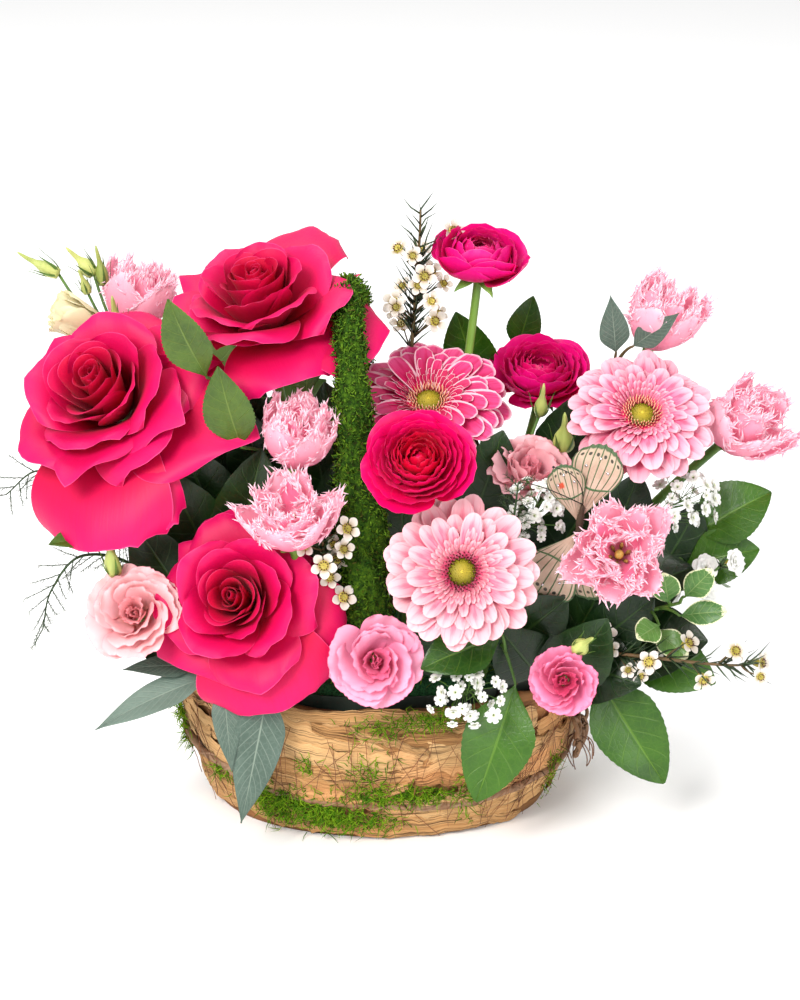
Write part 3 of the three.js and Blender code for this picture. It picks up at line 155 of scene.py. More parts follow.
class Finish:
    # One material, with the node and texture calls that all finishes share
    def __init__(self, name, constants):
        self.material = bpy.data.materials.new(name)
        self.material.use_nodes = True
        self.tree = self.material.node_tree
        self.shader = self.tree.nodes["Principled BSDF"]
        for socket, value in constants.items():
            setSocket(self.shader.inputs[socket], value)

    def node(self, kind, settings=None, sockets=None, output=0):
        made = self.tree.nodes.new("ShaderNode" + kind)
        for name, value in (settings or {}).items():
            if name == "stops":
                ramp = made.color_ramp.elements
                while len(ramp) < len(value):
                    ramp.new(0.5)
                for element, (place, colour) in zip(ramp, value):
                    element.position = place
                    element.color = paint(*colour)
            else:
                setattr(made, name, value)
        for name, value in (sockets or {}).items():
            if isinstance(value, Wire):
                self.tree.links.new(value.socket, made.inputs[name])
            else:
                setSocket(made.inputs[name], value)
        return Wire(self, made.outputs[output])

    def attribute(self, name):
        return self.node("Attribute", {"attribute_name": name}, output="Fac")

    def mapAxes(self):
        # The two directions of the piece's own map: across and along
        flat = self.node("UVMap", {"uv_map": "leafMap"})
        return [self.node("SeparateXYZ", None, {0: flat}, output=k) for k in range(2)]

    def noise(self, scale, detail=3.0, roughness=0.55, stretch=(1, 1, 1), onMap=False, shift=0.0):
        if onMap:
            start = self.node("UVMap", {"uv_map": "leafMap"})
        else:
            start = self.node("TexCoord", output="Object")
        moved = self.node("Mapping", None, {"Vector": start, "Scale": stretch})
        sockets = {"Vector": moved, "Scale": scale, "Detail": detail, "Roughness": roughness, "W": shift}
        return self.node("TexNoise", {"noise_dimensions": "4D"}, sockets)

    def step(self, value, low, high):
        # 0 below `low`, 1 above `high` and smooth between them
        sockets = {"Value": value, "From Min": low, "From Max": high}
        return self.node("MapRange", {"interpolation_type": "SMOOTHSTEP"}, sockets)

    def ramp(self, value, *stops):
        return self.node("ValToRGB", {"stops": stops}, {0: value})

    def blend(self, factor, first, second, mode="MIX"):
        sockets = {0: factor, 6: first, 7: second}
        return self.node("Mix", {"data_type": "RGBA", "blend_type": mode}, sockets, output=2)

    def close(self, colour, height=None, depth=0.0002, through=0.0, throughColour=None):
        # Links what varies over the surface. `through` is the share of light that passes a thin blade.
        join = self.tree.links.new
        join(colour.socket, self.shader.inputs["Base Color"])
        if height is not None:
            bump = self.node("Bump", None, {"Height": height, "Distance": depth, "Strength": 1.0})
            join(bump.socket, self.shader.inputs["Normal"])
        if through:
            glow = self.node("BsdfTranslucent", None, {"Color": throughColour})
            mixed = self.node("MixShader", None, {0: through, 1: Wire(self, self.shader.outputs[0]), 2: glow})
            join(mixed.socket, self.tree.nodes["Material Output"].inputs["Surface"])
        return self.material


# Shapes: each is a dictionary of arrays, worked out for many like shapes at once

def floats(values):
    return np.asarray(values, float)


def unit(vectors):
    return vectors / np.maximum(np.linalg.norm(vectors, axis=-1, keepdims=True), 1e-12)


def each(values, count):
    # A value for every one of `count` shapes, ready to meet a grid
    return np.broadcast_to(floats(values), (count,)).reshape(count, 1, 1)


def ease(controls, share):
    # A cubic curve from the first to the last of four values, drawn towards the middle two
    first, second, third, last = controls
    rest = 1 - share
    return first * rest**3 + 3 * second * rest**2 * share + 3 * third * rest * share**2 + last * share**3


def smooth(value, low, high):
    # 0 below `low`, 1 above `high` and smooth between them
    share = np.clip((value - low) / (high - low), 0, 1)
    return share * share * (3 - 2 * share)


def shapeOf(points, quads, triangles, flatMap, tone, ring, upper, rim):
    # One dictionary from arrays whose first axis runs over the shapes; faces get each shape's offset
    count, size = points.shape[:2]
    offset = np.arange(count)[:, None, None] * size
    spreadOut = lambda values: np.broadcast_to(values, (count, size)).reshape(-1)

    def many(faces, corners):
        return (np.asarray(faces, int).reshape(1, -1, corners) + offset).reshape(-1, corners)

    return {
        "points": points.reshape(-1, 3), "quads": many(quads, 4), "triangles": many(triangles, 3),
        "map": np.broadcast_to(flatMap, (count, size, 2)).reshape(-1, 2),
        "tone": spreadOut(floats(tone).reshape(-1, 1)),
        "ring": spreadOut(floats(ring).reshape(-1, 1)),
        "upper": spreadOut(upper), "rim": spreadOut(rim),
    }


def closeSheets(middle, thickness, tone=0.0, ring=0.0):
    # Thin closed blades from grids of their middles, shape (count, across, along, 3). The upper skin
    # stands half a thickness to the side of (along x across), the lower one to the other side, and
    # both share the border.
    count, across, along = middle.shape[:3]
    normal = unit(np.cross(np.gradient(middle, axis=2), np.gradient(middle, axis=1)))
    offset = normal * floats(thickness).reshape(-1, 1, 1, 1) / 2
    inner = np.zeros((across, along), bool)
    inner[1:-1, 1:-1] = True
    upper = np.where(inner[None, :, :, None], middle + offset, middle).reshape(count, -1, 3)
    lower = (middle - offset)[:, inner]
    topIndex = np.arange(across * along).reshape(across, along)
    lowIndex = topIndex.copy()
    lowIndex[inner] = across * along + np.arange(inner.sum())
    top = np.stack([topIndex[:-1, :-1], topIndex[:-1, 1:], topIndex[1:, 1:], topIndex[1:, :-1]], -1)
    low = np.stack([lowIndex[:-1, :-1], lowIndex[1:, :-1], lowIndex[1:, 1:], lowIndex[:-1, 1:]], -1)
    u, v = np.meshgrid(np.linspace(0, 1, across), np.linspace(0, 1, along), indexing="ij")
    flat = np.stack([u, v], -1)
    flatMap = np.concatenate([flat.reshape(-1, 2), flat[inner]])
    side = np.concatenate([np.ones(across * along), np.zeros(inner.sum())])
    rim = np.concatenate([~inner.reshape(-1), np.zeros(inner.sum(), bool)])
    faces = np.concatenate([top.reshape(-1, 4), low.reshape(-1, 4)])
    return shapeOf(np.concatenate([upper, lower], 1), faces, [], flatMap, tone, ring, side, rim)


def closeRings(rings, tone=0.0, ring=0.0, wrap=False):
    # Closed skins over rows of rings, shape (count, rings, sides, 3), each ring running anticlockwise
    # about the way ahead. The ends close on their middles, or on each other with `wrap`.
    count, rows, sides = rings.shape[:3]
    index = np.arange(rows * sides).reshape(rows, sides)
    ahead = np.roll(index, -1, 0) if wrap else index[1:]
    here = index if wrap else index[:-1]
    turned = np.roll(here, -1, 1)
    faces = np.stack([here, turned, np.roll(ahead, -1, 1), ahead], -1).reshape(-1, 4)
    v, u = np.meshgrid(np.linspace(0, 1, rows), np.arange(sides) / sides, indexing="ij")
    flat = np.stack([u, v], -1).reshape(-1, 2)
    points = rings.reshape(count, -1, 3)
    caps = np.zeros((0, 3), int)
    rim = np.zeros(rows * sides + (0 if wrap else 2), bool)
    if not wrap:
        ends = np.stack([rings[:, 0].mean(1), rings[:, -1].mean(1)], 1)
        points = np.concatenate([points, ends], 1)
        flat = np.concatenate([flat, [[0.5, 0], [0.5, 1]]])
        size = rows * sides
        first, last = index[0], index[-1]
        start = np.stack([np.full(sides, size), np.roll(first, -1), first], -1)
        stop = np.stack([np.full(sides, size + 1), last, np.roll(last, -1)], -1)
        caps = np.concatenate([start, stop])
    return shapeOf(points, faces, caps, flat, tone, ring, np.ones(points.shape[1]), rim)


def sweepRings(paths, radii, sides, lumps=0.0):
    # Rings round the points of paths (count, stations, 3): a circle square to the path, its radius
    # varied by `lumps`, an array like the rings
    paths = floats(paths)
    tangent = unit(np.gradient(paths, axis=1))
    steady = np.eye(3)[np.abs(tangent).max(1).argmin(-1)][:, None, :]
    first = unit(steady - (steady * tangent).sum(-1, keepdims=True) * tangent)
    second = np.cross(tangent, first)
    angle = 2 * np.pi * np.arange(sides) / sides
    radius = np.broadcast_to(floats(radii), paths.shape[:2])[:, :, None] * (1 + lumps)
    circle = first[:, :, None] * np.cos(angle)[:, None] + second[:, :, None] * np.sin(angle)[:, None]
    return paths[:, :, None] + radius[..., None] * circle


def tubes(paths, radii, sides=8, tone=0.0, ring=0.0):
    return closeRings(sweepRings(paths, radii, sides), tone, ring)


def spikes(roots, tips, radius, bend=0.0, tone=0.0, ring=0.0):
    # Three-sided pointed strands: a triangle at the root, a smaller one at the bent middle, a point
    # at the tip. `bend` moves the middle, as a length or as vectors.
    roots = floats(roots)
    tips = floats(tips)
    count = len(roots)
    axis = unit(tips - roots)
    steady = np.where(np.abs(axis[:, 2:]) < 0.9, [[0.0, 0.0, 1.0]], [[1.0, 0.0, 0.0]])
    first = unit(np.cross(axis, steady))
    second = np.cross(axis, first)
    shift = floats(bend)
    middle = (roots + tips) / 2 + (shift if shift.ndim == 2 else shift * second)
    thick = np.broadcast_to(floats(radius), (count,))[:, None, None]
    angle = 2 * np.pi * np.arange(3) / 3
    circle = first[:, None] * np.cos(angle)[:, None] + second[:, None] * np.sin(angle)[:, None]
    points = np.concatenate([roots[:, None] + thick * circle, middle[:, None] + 0.75 * thick * circle,
                             tips[:, None]], 1)
    quads = [(0, 1, 4, 3), (1, 2, 5, 4), (2, 0, 3, 5)]
    triangles = [(0, 2, 1), (3, 4, 6), (4, 5, 6), (5, 3, 6)]
    flatMap = [[0, 0], [0.33, 0], [0.66, 0], [0, 0.5], [0.33, 0.5], [0.66, 0.5], [0.5, 1]]
    return shapeOf(points, quads, triangles, flatMap, tone, ring, np.ones(7), np.zeros(7, bool))


def beads(centres, radius, sides=8, rows=5):
    # Small balls: rings of latitude, from the lowest up
    centres = floats(centres).reshape(-1, 1, 1, 3)
    reach = np.broadcast_to(floats(radius), (len(centres),))[:, None, None, None]
    latitude = np.radians(np.linspace(-72, 72, rows))[:, None]
    angle = 2 * np.pi * np.arange(sides) / sides - np.pi / 2
    return closeRings(centres + reach * circled(np.cos(latitude), angle, np.sin(latitude)))


petalDefaults = {
    "azimuth": 0, "rootRadius": 3, "rootHeight": 0, "length": 40, "width": 30,
    "lean": (0, 20, 40, 60), "outline": (0.4, 0.9, 1.2, 0.7), "cup": (60, 45, 30, 10),
    "tipRound": 0.2, "tipPower": 2, "edgeRoll": 0, "ruffle": 0, "ruffleWaves": 3, "buckle": 0, "spiral": 0,
    "grooves": 0, "notch": 0, "teeth": 0, "fold": 0, "thickness": 0.45, "phase": 0, "tone": 0, "ring": 0,
}


def petals(form, across, along, place):
    # A petal's middle line leaves its root and turns away from the flower's axis by the angle `lean`,
    # so its points are the running sums of the angle's sine and cosine. Across it lies an arc that
    # turns by `cup` to each side, as wide as `outline`. Then it is lifted off that arc: rolled back
    # at its sides, waved along its rim, buckled, grooved and set out on one side as in a spiral.
    recipe = {**petalDefaults, **form}
    count = np.size(recipe["azimuth"])
    value = lambda name: each(recipe[name], count)
    curve = lambda name, share: ease([each(one, count) for one in recipe[name]], share)
    s = np.linspace(-1, 1, across).reshape(1, -1, 1)
    t = np.linspace(0, 1, along).reshape(1, 1, -1)
    side = np.abs(s)
    reach = t * (1 - value("tipRound") * side ** value("tipPower"))
    reach = reach - value("notch") * t**6 * np.cos(3 * np.pi * s) ** 2
    reach = reach - value("teeth") * t**4 * (1 + np.sin(9 * np.pi * s + 3 * value("phase")))
    half = value("width") / 2 * curve("outline", t)

    steps = 40
    angle = np.radians(curve("lean", np.linspace(0, 1, steps + 1).reshape(1, 1, -1)))[:, 0]
    spot = np.clip(reach, 0, 1) * steps
    low = np.minimum(spot.astype(int), steps - 1)
    part = (spot - low).reshape(count, -1)
    low = low.reshape(count, -1)

    def walked(rate):
        grown = np.cumsum((rate[:, 1:] + rate[:, :-1]) / 2, 1)
        total = np.concatenate([np.zeros((count, 1)), grown], 1) / steps
        start = np.take_along_axis(total, low, 1)
        return (start + part * (np.take_along_axis(total, low + 1, 1) - start)).reshape(count, across, along)

    outward = value("length") * walked(np.sin(angle))
    upward = value("length") * walked(np.cos(angle))
    leanHere = np.radians(curve("lean", reach))
    cup = np.radians(curve("cup", reach))
    cup = np.where(np.abs(cup) < 1e-3, 1e-3, cup)
    phase = value("phase")
    sideways = half * np.sin(cup * s) / cup
    lift = half * (1 - np.cos(cup * s)) / cup
    lift = lift + value("spiral") * s * smooth(t, 0, 0.45)
    lift = lift - value("edgeRoll") * half * side**3 * t**2
    lift = lift + value("fold") * half * side * t
    rimWave = side**3 * np.sin(value("ruffleWaves") * np.pi * t + phase + 1.2 * s) * t
    tipWave = t**6 * np.sin(value("ruffleWaves") * np.pi * s + 2.1 * phase)
    lift = lift + value("ruffle") * (rimWave + tipWave)
    lift = lift + value("buckle") * np.sin(2.3 * s + phase) * np.sin(3.1 * t + 1.7 * phase) * t
    lift = lift + value("grooves") * np.cos(2 * np.pi * s) * smooth(t, 0.1, 0.5)
    radial = value("rootRadius") + outward - np.cos(leanHere) * lift
    height = value("rootHeight") + upward + np.sin(leanHere) * lift
    azimuth = np.radians(value("azimuth"))
    middle = np.stack([radial * np.cos(azimuth) - sideways * np.sin(azimuth),
                       radial * np.sin(azimuth) + sideways * np.cos(azimuth), height], -1)
    origin, axes = place
    return closeSheets(origin + middle @ axes.T, recipe["thickness"], recipe["tone"], recipe["ring"])


def row(count, rootRadius, rootHeight, length, width, lean, cup, ring=0, start=0, **more):
    # One ring: how many petals, where their roots are, their size, how they lean and cup from root to
    # tip, from 1 for the innermost ring to 0 for the outermost, and the first petal's direction
    return {"count": count, "rootRadius": rootRadius, "rootHeight": rootHeight, "length": length,
            "width": width, "lean": lean, "cup": cup, "ring": ring, "start": start, **more}


leafDefaults = {
    "sag": 0.05, "fold": 0.12, "widest": 0.42, "teeth": 0.0, "toothCount": 26, "veinDepth": 0.3,
    "veinCount": 9, "wave": 0.0, "curl": 0.0, "thickness": 0.55, "tone": 0.5, "ring": 0.0,
    "bluntness": 0.85, "phase": 0.0,
}


def leaves(form, across=11, along=41):
    # A leaf from `base` to `tip`: its half width swells as a sine to its widest place and falls as a
    # cosine to the tip, cut by saw teeth. It bends by `sag`, its halves lift by `fold`, its tip curls
    # down by `curl`, its rim waves, and its middle and side veins are pressed in.
    recipe = {**leafDefaults, **form}
    base = floats(recipe["base"]).reshape(-1, 3)
    count = len(base)
    value = lambda name: each(recipe[name], count)
    reach = floats(recipe["tip"]).reshape(-1, 3) - base
    length = np.linalg.norm(reach, axis=1).reshape(count, 1, 1)
    axis = unit(reach)
    up = np.broadcast_to(floats(recipe["face"]), (count, 3))
    up = unit(up - (up * axis).sum(1, keepdims=True) * axis)
    across3 = np.cross(axis, up)
    s = np.linspace(-1, 1, across).reshape(1, -1, 1)
    t = np.linspace(0, 1, along).reshape(1, 1, -1)
    side = np.abs(s)
    widest = value("widest")
    rising = np.sin(np.pi / 2 * np.clip(t / widest, 0, 1)) ** 1.3
    falling = np.cos(np.pi / 2 * np.clip((t - widest) / (1 - widest), 0, 1))
    falling = np.maximum(falling, 0) ** value("bluntness")
    saw = (value("toothCount") * t) % 1.0
    swell = np.maximum(np.where(t < widest, rising, falling), 0.035)
    half = value("width") / 2 * swell * (1 - value("teeth") * saw * side**6)
    phase = value("phase")
    lift = value("sag") * 4 * t * (1 - t) * length + value("fold") * half * side * 2
    lift = lift - value("curl") * length * t**3
    lift = lift + value("wave") * half * side**2 * np.sin(9 * t + phase + s)
    lift = lift - value("veinDepth") * np.exp(-((s * half) / 0.9) ** 2) * np.minimum(1, 4 * t)
    slanted = value("veinCount") * (t - 0.22 * side)
    sideVeins = 0.5 * value("veinDepth") * np.cos(2 * np.pi * slanted) ** 8
    lift = lift - sideVeins * (1 - side) * smooth(side, 0, 0.2)
    along3 = (axis[:, None, None] * (length * t)[..., None]
              + up[:, None, None] * lift[..., None] - across3[:, None, None] * (s * half)[..., None])
    return closeSheets(base[:, None, None] + along3, recipe["thickness"], recipe["tone"], recipe["ring"])


def bezier(points, share):
    # The cubic curve of four points (…, 3) at the shares of the way
    share = floats(share)[:, None]
    return ease([floats(one) for one in points], share)


def flowerPlace(heart, facing, depth, roll=0.0):
    # Where a head's base is, and its axes: Z is the way it faces and Y as near to up as it can be
    z = unit(floats(facing))
    upHint = np.array([0, 0.375, 0.927])
    y = unit(upHint - upHint @ z * z)
    x = np.cross(y, z)
    turn = np.radians(roll)
    axes = np.stack([x * np.cos(turn) + y * np.sin(turn), y * np.cos(turn) - x * np.sin(turn), z], 1)
    return floats(heart) - depth * z, axes


def circled(radius, angle, height):
    # Points at a radius, an angle in radians and a height, which may be arrays that meet on a grid
    return np.stack(np.broadcast_arrays(radius * np.cos(angle), radius * np.sin(angle), height), -1)


def toPlace(points, place):
    origin, axes = place
    return origin + floats(points) @ axes.T


def joinShapes(shapes):
    # All arrays end to end, the faces' numbers moved on by the points before them
    joined = {}
    offsets = np.cumsum([0] + [len(shape["points"]) for shape in shapes])
    for name in ("points", "map", "tone", "ring", "upper", "rim"):
        joined[name] = np.concatenate([shape[name] for shape in shapes])
    for name in ("quads", "triangles"):
        joined[name] = np.concatenate([shape[name] + offset for shape, offset in zip(shapes, offsets)])
        joined[name + "Finish"] = np.concatenate(
            [np.full(len(shape[name]), shape.get("finish", 0)) for shape in shapes])
    return joined


def coated(shape, finish):
    return {**shape, "finish": finish}


def putPiece(name, shapes, finishes, slot, nodes):
    # One mesh from all the shapes, its place in its points, standing for the CAD nodes
    joined = joinShapes(shapes)
    quads, triangles = joined["quads"], joined["triangles"]
    corners = np.concatenate([quads.reshape(-1), triangles.reshape(-1)]).astype(np.int32)
    starts = np.concatenate([np.arange(len(quads)) * 4, len(quads) * 4 + np.arange(len(triangles)) * 3])
    mesh = bpy.data.meshes.new(name)
    mesh.vertices.add(len(joined["points"]))
    mesh.vertices.foreach_set("co", (joined["points"] * millimetre).astype(np.float32).reshape(-1))
    mesh.loops.add(len(corners))
    mesh.loops.foreach_set("vertex_index", corners)
    mesh.polygons.add(len(starts))
    mesh.polygons.foreach_set("loop_start", starts.astype(np.int32))
    mesh.update(calc_edges=True)
    for finish in finishes:
        mesh.materials.append(finish)
    coats = np.concatenate([joined["quadsFinish"], joined["trianglesFinish"]]).astype(np.int32)
    mesh.polygons.foreach_set("material_index", coats)
    mesh.polygons.foreach_set("use_smooth", np.ones(len(starts), bool))
    flat = joined["map"][corners].astype(np.float32).reshape(-1)
    mesh.uv_layers.new(name="leafMap").data.foreach_set("uv", flat)
    for attribute in ("tone", "ring", "upper"):
        data = mesh.attributes.new(attribute, "FLOAT", "POINT").data
        data.foreach_set("value", joined[attribute].astype(np.float32))
    ends = np.empty(len(mesh.edges) * 2, np.int32)
    mesh.edges.foreach_get("vertices", ends)
    sharp = joined["rim"][ends.reshape(-1, 2)].all(1)
    mesh.attributes.new("sharp_edge", "BOOLEAN", "EDGE").data.foreach_set("value", sharp)
    piece = bpy.data.objects.new(name, mesh)
    link(piece)
    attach(piece, "root")
    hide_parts(*nodes)
    triangleCount = 2 * len(quads) + len(triangles)
    totals["triangles"] += triangleCount
    print(f"  {name}: {triangleCount} triangles")
    return piece


totals = {"triangles": 0}
setStudio()
print("The studio is set")


# Finishes of petals and leaves

def petalFinish(name, root, body, tip, rim, **values):
    # From the root's colour over the body's to the tip's; inner petals take the inner colour, the
    # thin rim its own, and fine veins run out from the root
    look = {"rimAt": 0.975, "veins": 0.10, "veinCount": 60, "roughness": 0.5, "sheen": 0.25, "through": 0.3,
            "inner": None, "spread": (0.15, 0.5, 0.95), "toneDepth": 0.08, "depth": 0.0002,
            "passes": None, "rimSides": 1.0, "rimSoft": 0.02, "glow": 0.0, **values}
    # The emission set by `glow` is painted light: a faint glow in the petal's own colour that lifts its
    # shaded parts
    finish = Finish(name, {"Roughness": look["roughness"], "Sheen Weight": look["sheen"],
                           "Sheen Roughness": 0.4, "Specular IOR Level": 0.3,
                           "Emission Color": look["passes"] or body, "Emission Strength": look["glow"]})
    across, along = finish.mapAxes()
    low, middle, high = look["spread"]
    colour = finish.ramp(along, (low, root), (middle, body), (high, tip))
    if look["inner"]:
        colour = finish.blend(finish.step(finish.attribute("ring"), 0.35, 0.95), colour, look["inner"])
    mottle = finish.noise(60, 2, 0.5)
    tone = finish.attribute("tone")
    darker = finish.step(mottle * 0.6 + tone * 0.4, 0.2, 0.8) * look["toneDepth"] + (1 - look["toneDepth"])
    shade = finish.node("CombineColor", None, {0: darker, 1: darker, 2: darker})
    colour = finish.blend(1.0, colour, shade, "MULTIPLY")
    stripes = finish.noise(1, 3, 0.6, (look["veinCount"], 2.2, 1), onMap=True)
    stripeMask = finish.step(stripes, 0.46, 0.62)
    colour = finish.blend(stripeMask * look["veins"], colour, root)
    edge = (abs(across * 2 - 1) * look["rimSides"]).maths("MAXIMUM", along)
    border = finish.step(edge, look["rimAt"], look["rimAt"] + look["rimSoft"])
    colour = finish.blend(border * 0.85, colour, rim)
    grain = finish.noise(900, 2, 0.5)
    return finish.close(colour, stripes * 0.7 + grain * 0.3, look["depth"], through=look["through"],
                        throughColour=look["passes"] or body)


# The deeper red at the petals' roots and on the inner rings is partly the rose's own colour and partly
# painted shade deep in the cup
rosePetal = petalFinish("rosePetal", (194, 0, 30), (212, 0, 70), (222, 0, 96), (248, 84, 148),
    roughness=0.52, sheen=0.03, rimAt=0.985, depth=0.00016, through=0.2, inner=(208, 0, 58), veins=0.08)
gerberaDeep = petalFinish("gerberaDeep", (200, 0, 70), (224, 22, 104), (240, 84, 150), (255, 214, 228),
    rimAt=0.935, rimSides=1.15, rimSoft=0.06, veins=0.5, veinCount=9, inner=(214, 30, 92), sheen=0.0,
    toneDepth=0.2)
gerberaMid = petalFinish("gerberaMid", (218, 26, 92), (236, 92, 146), (247, 172, 196), (253, 216, 226),
    rimAt=0.72, rimSides=0.92, rimSoft=0.36, veins=0.55, veinCount=7, inner=(242, 140, 170), sheen=0.0,
    toneDepth=0.16, spread=(0.1, 0.45, 0.85))
gerberaPale = petalFinish("gerberaPale", (224, 66, 110), (238, 128, 158), (247, 188, 200), (252, 218, 222),
    rimAt=0.70, rimSides=0.92, rimSoft=0.4, veins=0.55, veinCount=7, inner=(244, 160, 176), sheen=0.0,
    toneDepth=0.16, spread=(0.1, 0.45, 0.85))
gerberaHeart = petalFinish("gerberaHeart", (80, 80, 4), (128, 122, 10), (196, 172, 40), (204, 180, 54),
    through=0.0, sheen=0.0, toneDepth=0.5)
gerberaFlorets = petalFinish("gerberaFlorets", (70, 4, 16), (120, 14, 34), (246, 176, 186), (248, 190, 198),
    through=0.0, sheen=0.0, spread=(0.3, 0.7, 0.98))
creamFlorets = petalFinish("creamFlorets", (186, 60, 70), (232, 150, 120), (250, 226, 176), (252, 232, 196),
    through=0.0, sheen=0.0, spread=(0.2, 0.6, 0.95))
ranunculusPetal = petalFinish("ranunculusPetal", (190, 0, 40), (226, 0, 76), (236, 0, 108), (250, 84, 150),
    rimAt=0.985, roughness=0.42, inner=(222, 0, 54), veins=0.12, veinCount=40, sheen=0.03, depth=0.00012,
    through=0.2)
magentaPetal = petalFinish("magentaPetal", (190, 0, 80), (230, 0, 116), (240, 14, 138), (250, 116, 184),
    rimAt=0.985, roughness=0.42, inner=(218, 0, 100), veins=0.12, veinCount=40, sheen=0.03, depth=0.00012,
    through=0.28)
# Tulip petals and fringe crystals glow a little (glow): painted light that keeps their shaded sides pink
# instead of grey
tulipPetal = petalFinish("tulipPetal", (250, 218, 156), (238, 126, 168), (250, 198, 214), (255, 228, 236),
    rimAt=0.88, rimSoft=0.12, passes=(255, 190, 210), veins=0.0, through=0.42, spread=(0.02, 0.2, 0.85),
    sheen=0.0, toneDepth=0.03, inner=(238, 126, 166), glow=0.07)
tulipFringe = petalFinish("tulipFringe", (252, 190, 210), (255, 220, 230), (255, 248, 250), (255, 252, 252),
    veins=0.0, passes=(255, 206, 222), through=0.5, sheen=0.0, toneDepth=0.0, spread=(0.0, 0.35, 0.8),
    glow=0.3)
lisianthusPeach = petalFinish("lisianthusPeach", (240, 172, 158), (246, 194, 202), (251, 214, 218),
    (232, 116, 150), rimAt=0.982, passes=(255, 214, 210), through=0.4, inner=(236, 160, 168), sheen=0.05,
    veins=0.05, toneDepth=0.05)
# The darker root and paler tips are partly the petals' own colour and partly painted shade deep in the bowl
# and painted highlight on the tips
lisianthusPink = petalFinish("lisianthusPink", (210, 84, 124), (246, 158, 196), (252, 188, 214),
    (226, 84, 142), rimAt=0.982, through=0.4, spread=(0.1, 0.4, 0.9), inner=(232, 116, 156),
    passes=(255, 190, 214), sheen=0.05, veins=0.05, toneDepth=0.05)
lisianthusDusty = petalFinish("lisianthusDusty", (220, 136, 154), (244, 186, 198), (250, 208, 212),
    (228, 134, 156), rimAt=0.982, through=0.4, spread=(0.1, 0.4, 0.9), inner=(236, 160, 174),
    passes=(252, 204, 212), sheen=0.05, veins=0.05, toneDepth=0.05)
lisianthusDeep = petalFinish("lisianthusDeep", (176, 30, 76), (242, 122, 172), (250, 164, 200),
    (214, 50, 120), rimAt=0.982, passes=(255, 180, 208), through=0.35, spread=(0.05, 0.45, 0.95),
    inner=(214, 66, 112), sheen=0.05, veins=0.05, toneDepth=0.05)
lisianthusCream = petalFinish("lisianthusCream", (196, 200, 110), (238, 230, 190), (244, 236, 204),
    (226, 216, 170), rimAt=0.985, through=0.35)


def leafFinish(name, body, dark, vein, **values):
    # The blade's colour varies in patches, lighter along its middle and side veins; the underside
    # is paler, and `margin` colours its border
    look = {"veinCount": 9, "veinWidth": 0.12, "roughness": 0.36, "margin": None, "marginAt": 0.94,
            "through": 0.18, "under": (106, 138, 70), "grain": 500, "bloom": 0.0, "veinShare": 0.65, **values}
    finish = Finish(name, {"Roughness": look["roughness"], "Specular IOR Level": 0.45,
                           "Sheen Weight": look["bloom"], "Sheen Roughness": 0.5})
    across, along = finish.mapAxes()
    side = abs(across * 2 - 1)
    patches = finish.noise(55, 4, 0.6)
    tone = finish.attribute("tone")
    colour = finish.blend(finish.step(patches * 0.7 + tone * 0.5, 0.35, 0.85), dark, body)
    middleVein = 1 - finish.step(side, 0.015, 0.06)
    slanted = (along - side * 0.22) * look["veinCount"]
    sideVein = 1 - finish.step(abs(slanted.maths("FRACT") - 0.5), 0.02, look["veinWidth"])
    sideVein = sideVein * (1 - finish.step(side, 0.7, 0.98)) * 0.55
    netting = finish.node("TexVoronoi", {"feature": "DISTANCE_TO_EDGE"}, {
        "Vector": finish.node("Mapping", None, {"Vector": finish.node("TexCoord", output="Object"),
                                                "Scale": (1, 1, 1)}), "Scale": 330.0})
    net = 1 - finish.step(netting, 0.02, 0.12)
    veins = middleVein.maths("MAXIMUM", sideVein).maths("MAXIMUM", net * 0.16)
    colour = finish.blend(veins * look["veinShare"], colour, vein)
    if look["margin"]:
        wander = finish.noise(7, 2, 0.5, (1, 4, 1), onMap=True)
        edge = side.maths("MAXIMUM", along) + wander * 0.3 - 0.15
        border = finish.step(edge, look["marginAt"], look["marginAt"] + 0.05)
        colour = finish.blend(border, colour, look["margin"])
    colour = finish.blend((1 - finish.attribute("upper")) * 0.8, colour, look["under"])
    grain = finish.noise(look["grain"], 2, 0.5)
    return finish.close(colour, grain * 0.25 - veins * 0.8, 0.0003, through=look["through"],
                        throughColour=body)


salalLeaf = leafFinish("salalLeaf", (58, 102, 10), (28, 66, 6), (108, 146, 46), veinCount=7, veinWidth=0.06,
    veinShare=0.45)
# A darker copy of the salal blade for the leaves tucked low between the stems: painted shade
paintedShadeLeaf = leafFinish("paintedShadeLeaf", (40, 74, 22), (14, 40, 12), (74, 108, 48), veinCount=7, veinWidth=0.06,
    veinShare=0.4, under=(70, 100, 48))
roseLeaf = leafFinish("roseLeaf", (82, 110, 26), (34, 60, 12), (124, 144, 66), veinCount=8,
    margin=(96, 70, 40), marginAt=1.06, veinShare=0.45, veinWidth=0.06)
eucalyptusLeaf = leafFinish("eucalyptusLeaf", (104, 124, 112), (70, 90, 78), (146, 162, 146), veinCount=12,
    roughness=0.55, margin=(128, 84, 72), marginAt=1.08, under=(118, 136, 124), bloom=0.12)
pittosporumLeaf = leafFinish("pittosporumLeaf", (94, 136, 62), (60, 104, 46), (150, 180, 110), veinCount=6,
    margin=(226, 230, 186), marginAt=0.88)
fernNeedle = leafFinish("fernNeedle", (70, 100, 52), (38, 62, 32), (90, 120, 66), through=0.1)


def stemFinish(name, body, dark, **values):
    look = {"roughness": 0.45, "scale": 90, **values}
    finish = Finish(name, {"Roughness": look["roughness"], "Specular IOR Level": 0.4})
    patches = finish.noise(look["scale"], 3, 0.6, (1, 1, 0.25))
    colour = finish.blend(finish.step(patches * 0.8 + finish.attribute("tone") * 0.3, 0.35, 0.75), dark, body)
    fibres = finish.noise(1, 2, 0.5, (40, 3, 1), onMap=True)
    return finish.close(colour, fibres, 0.0002)


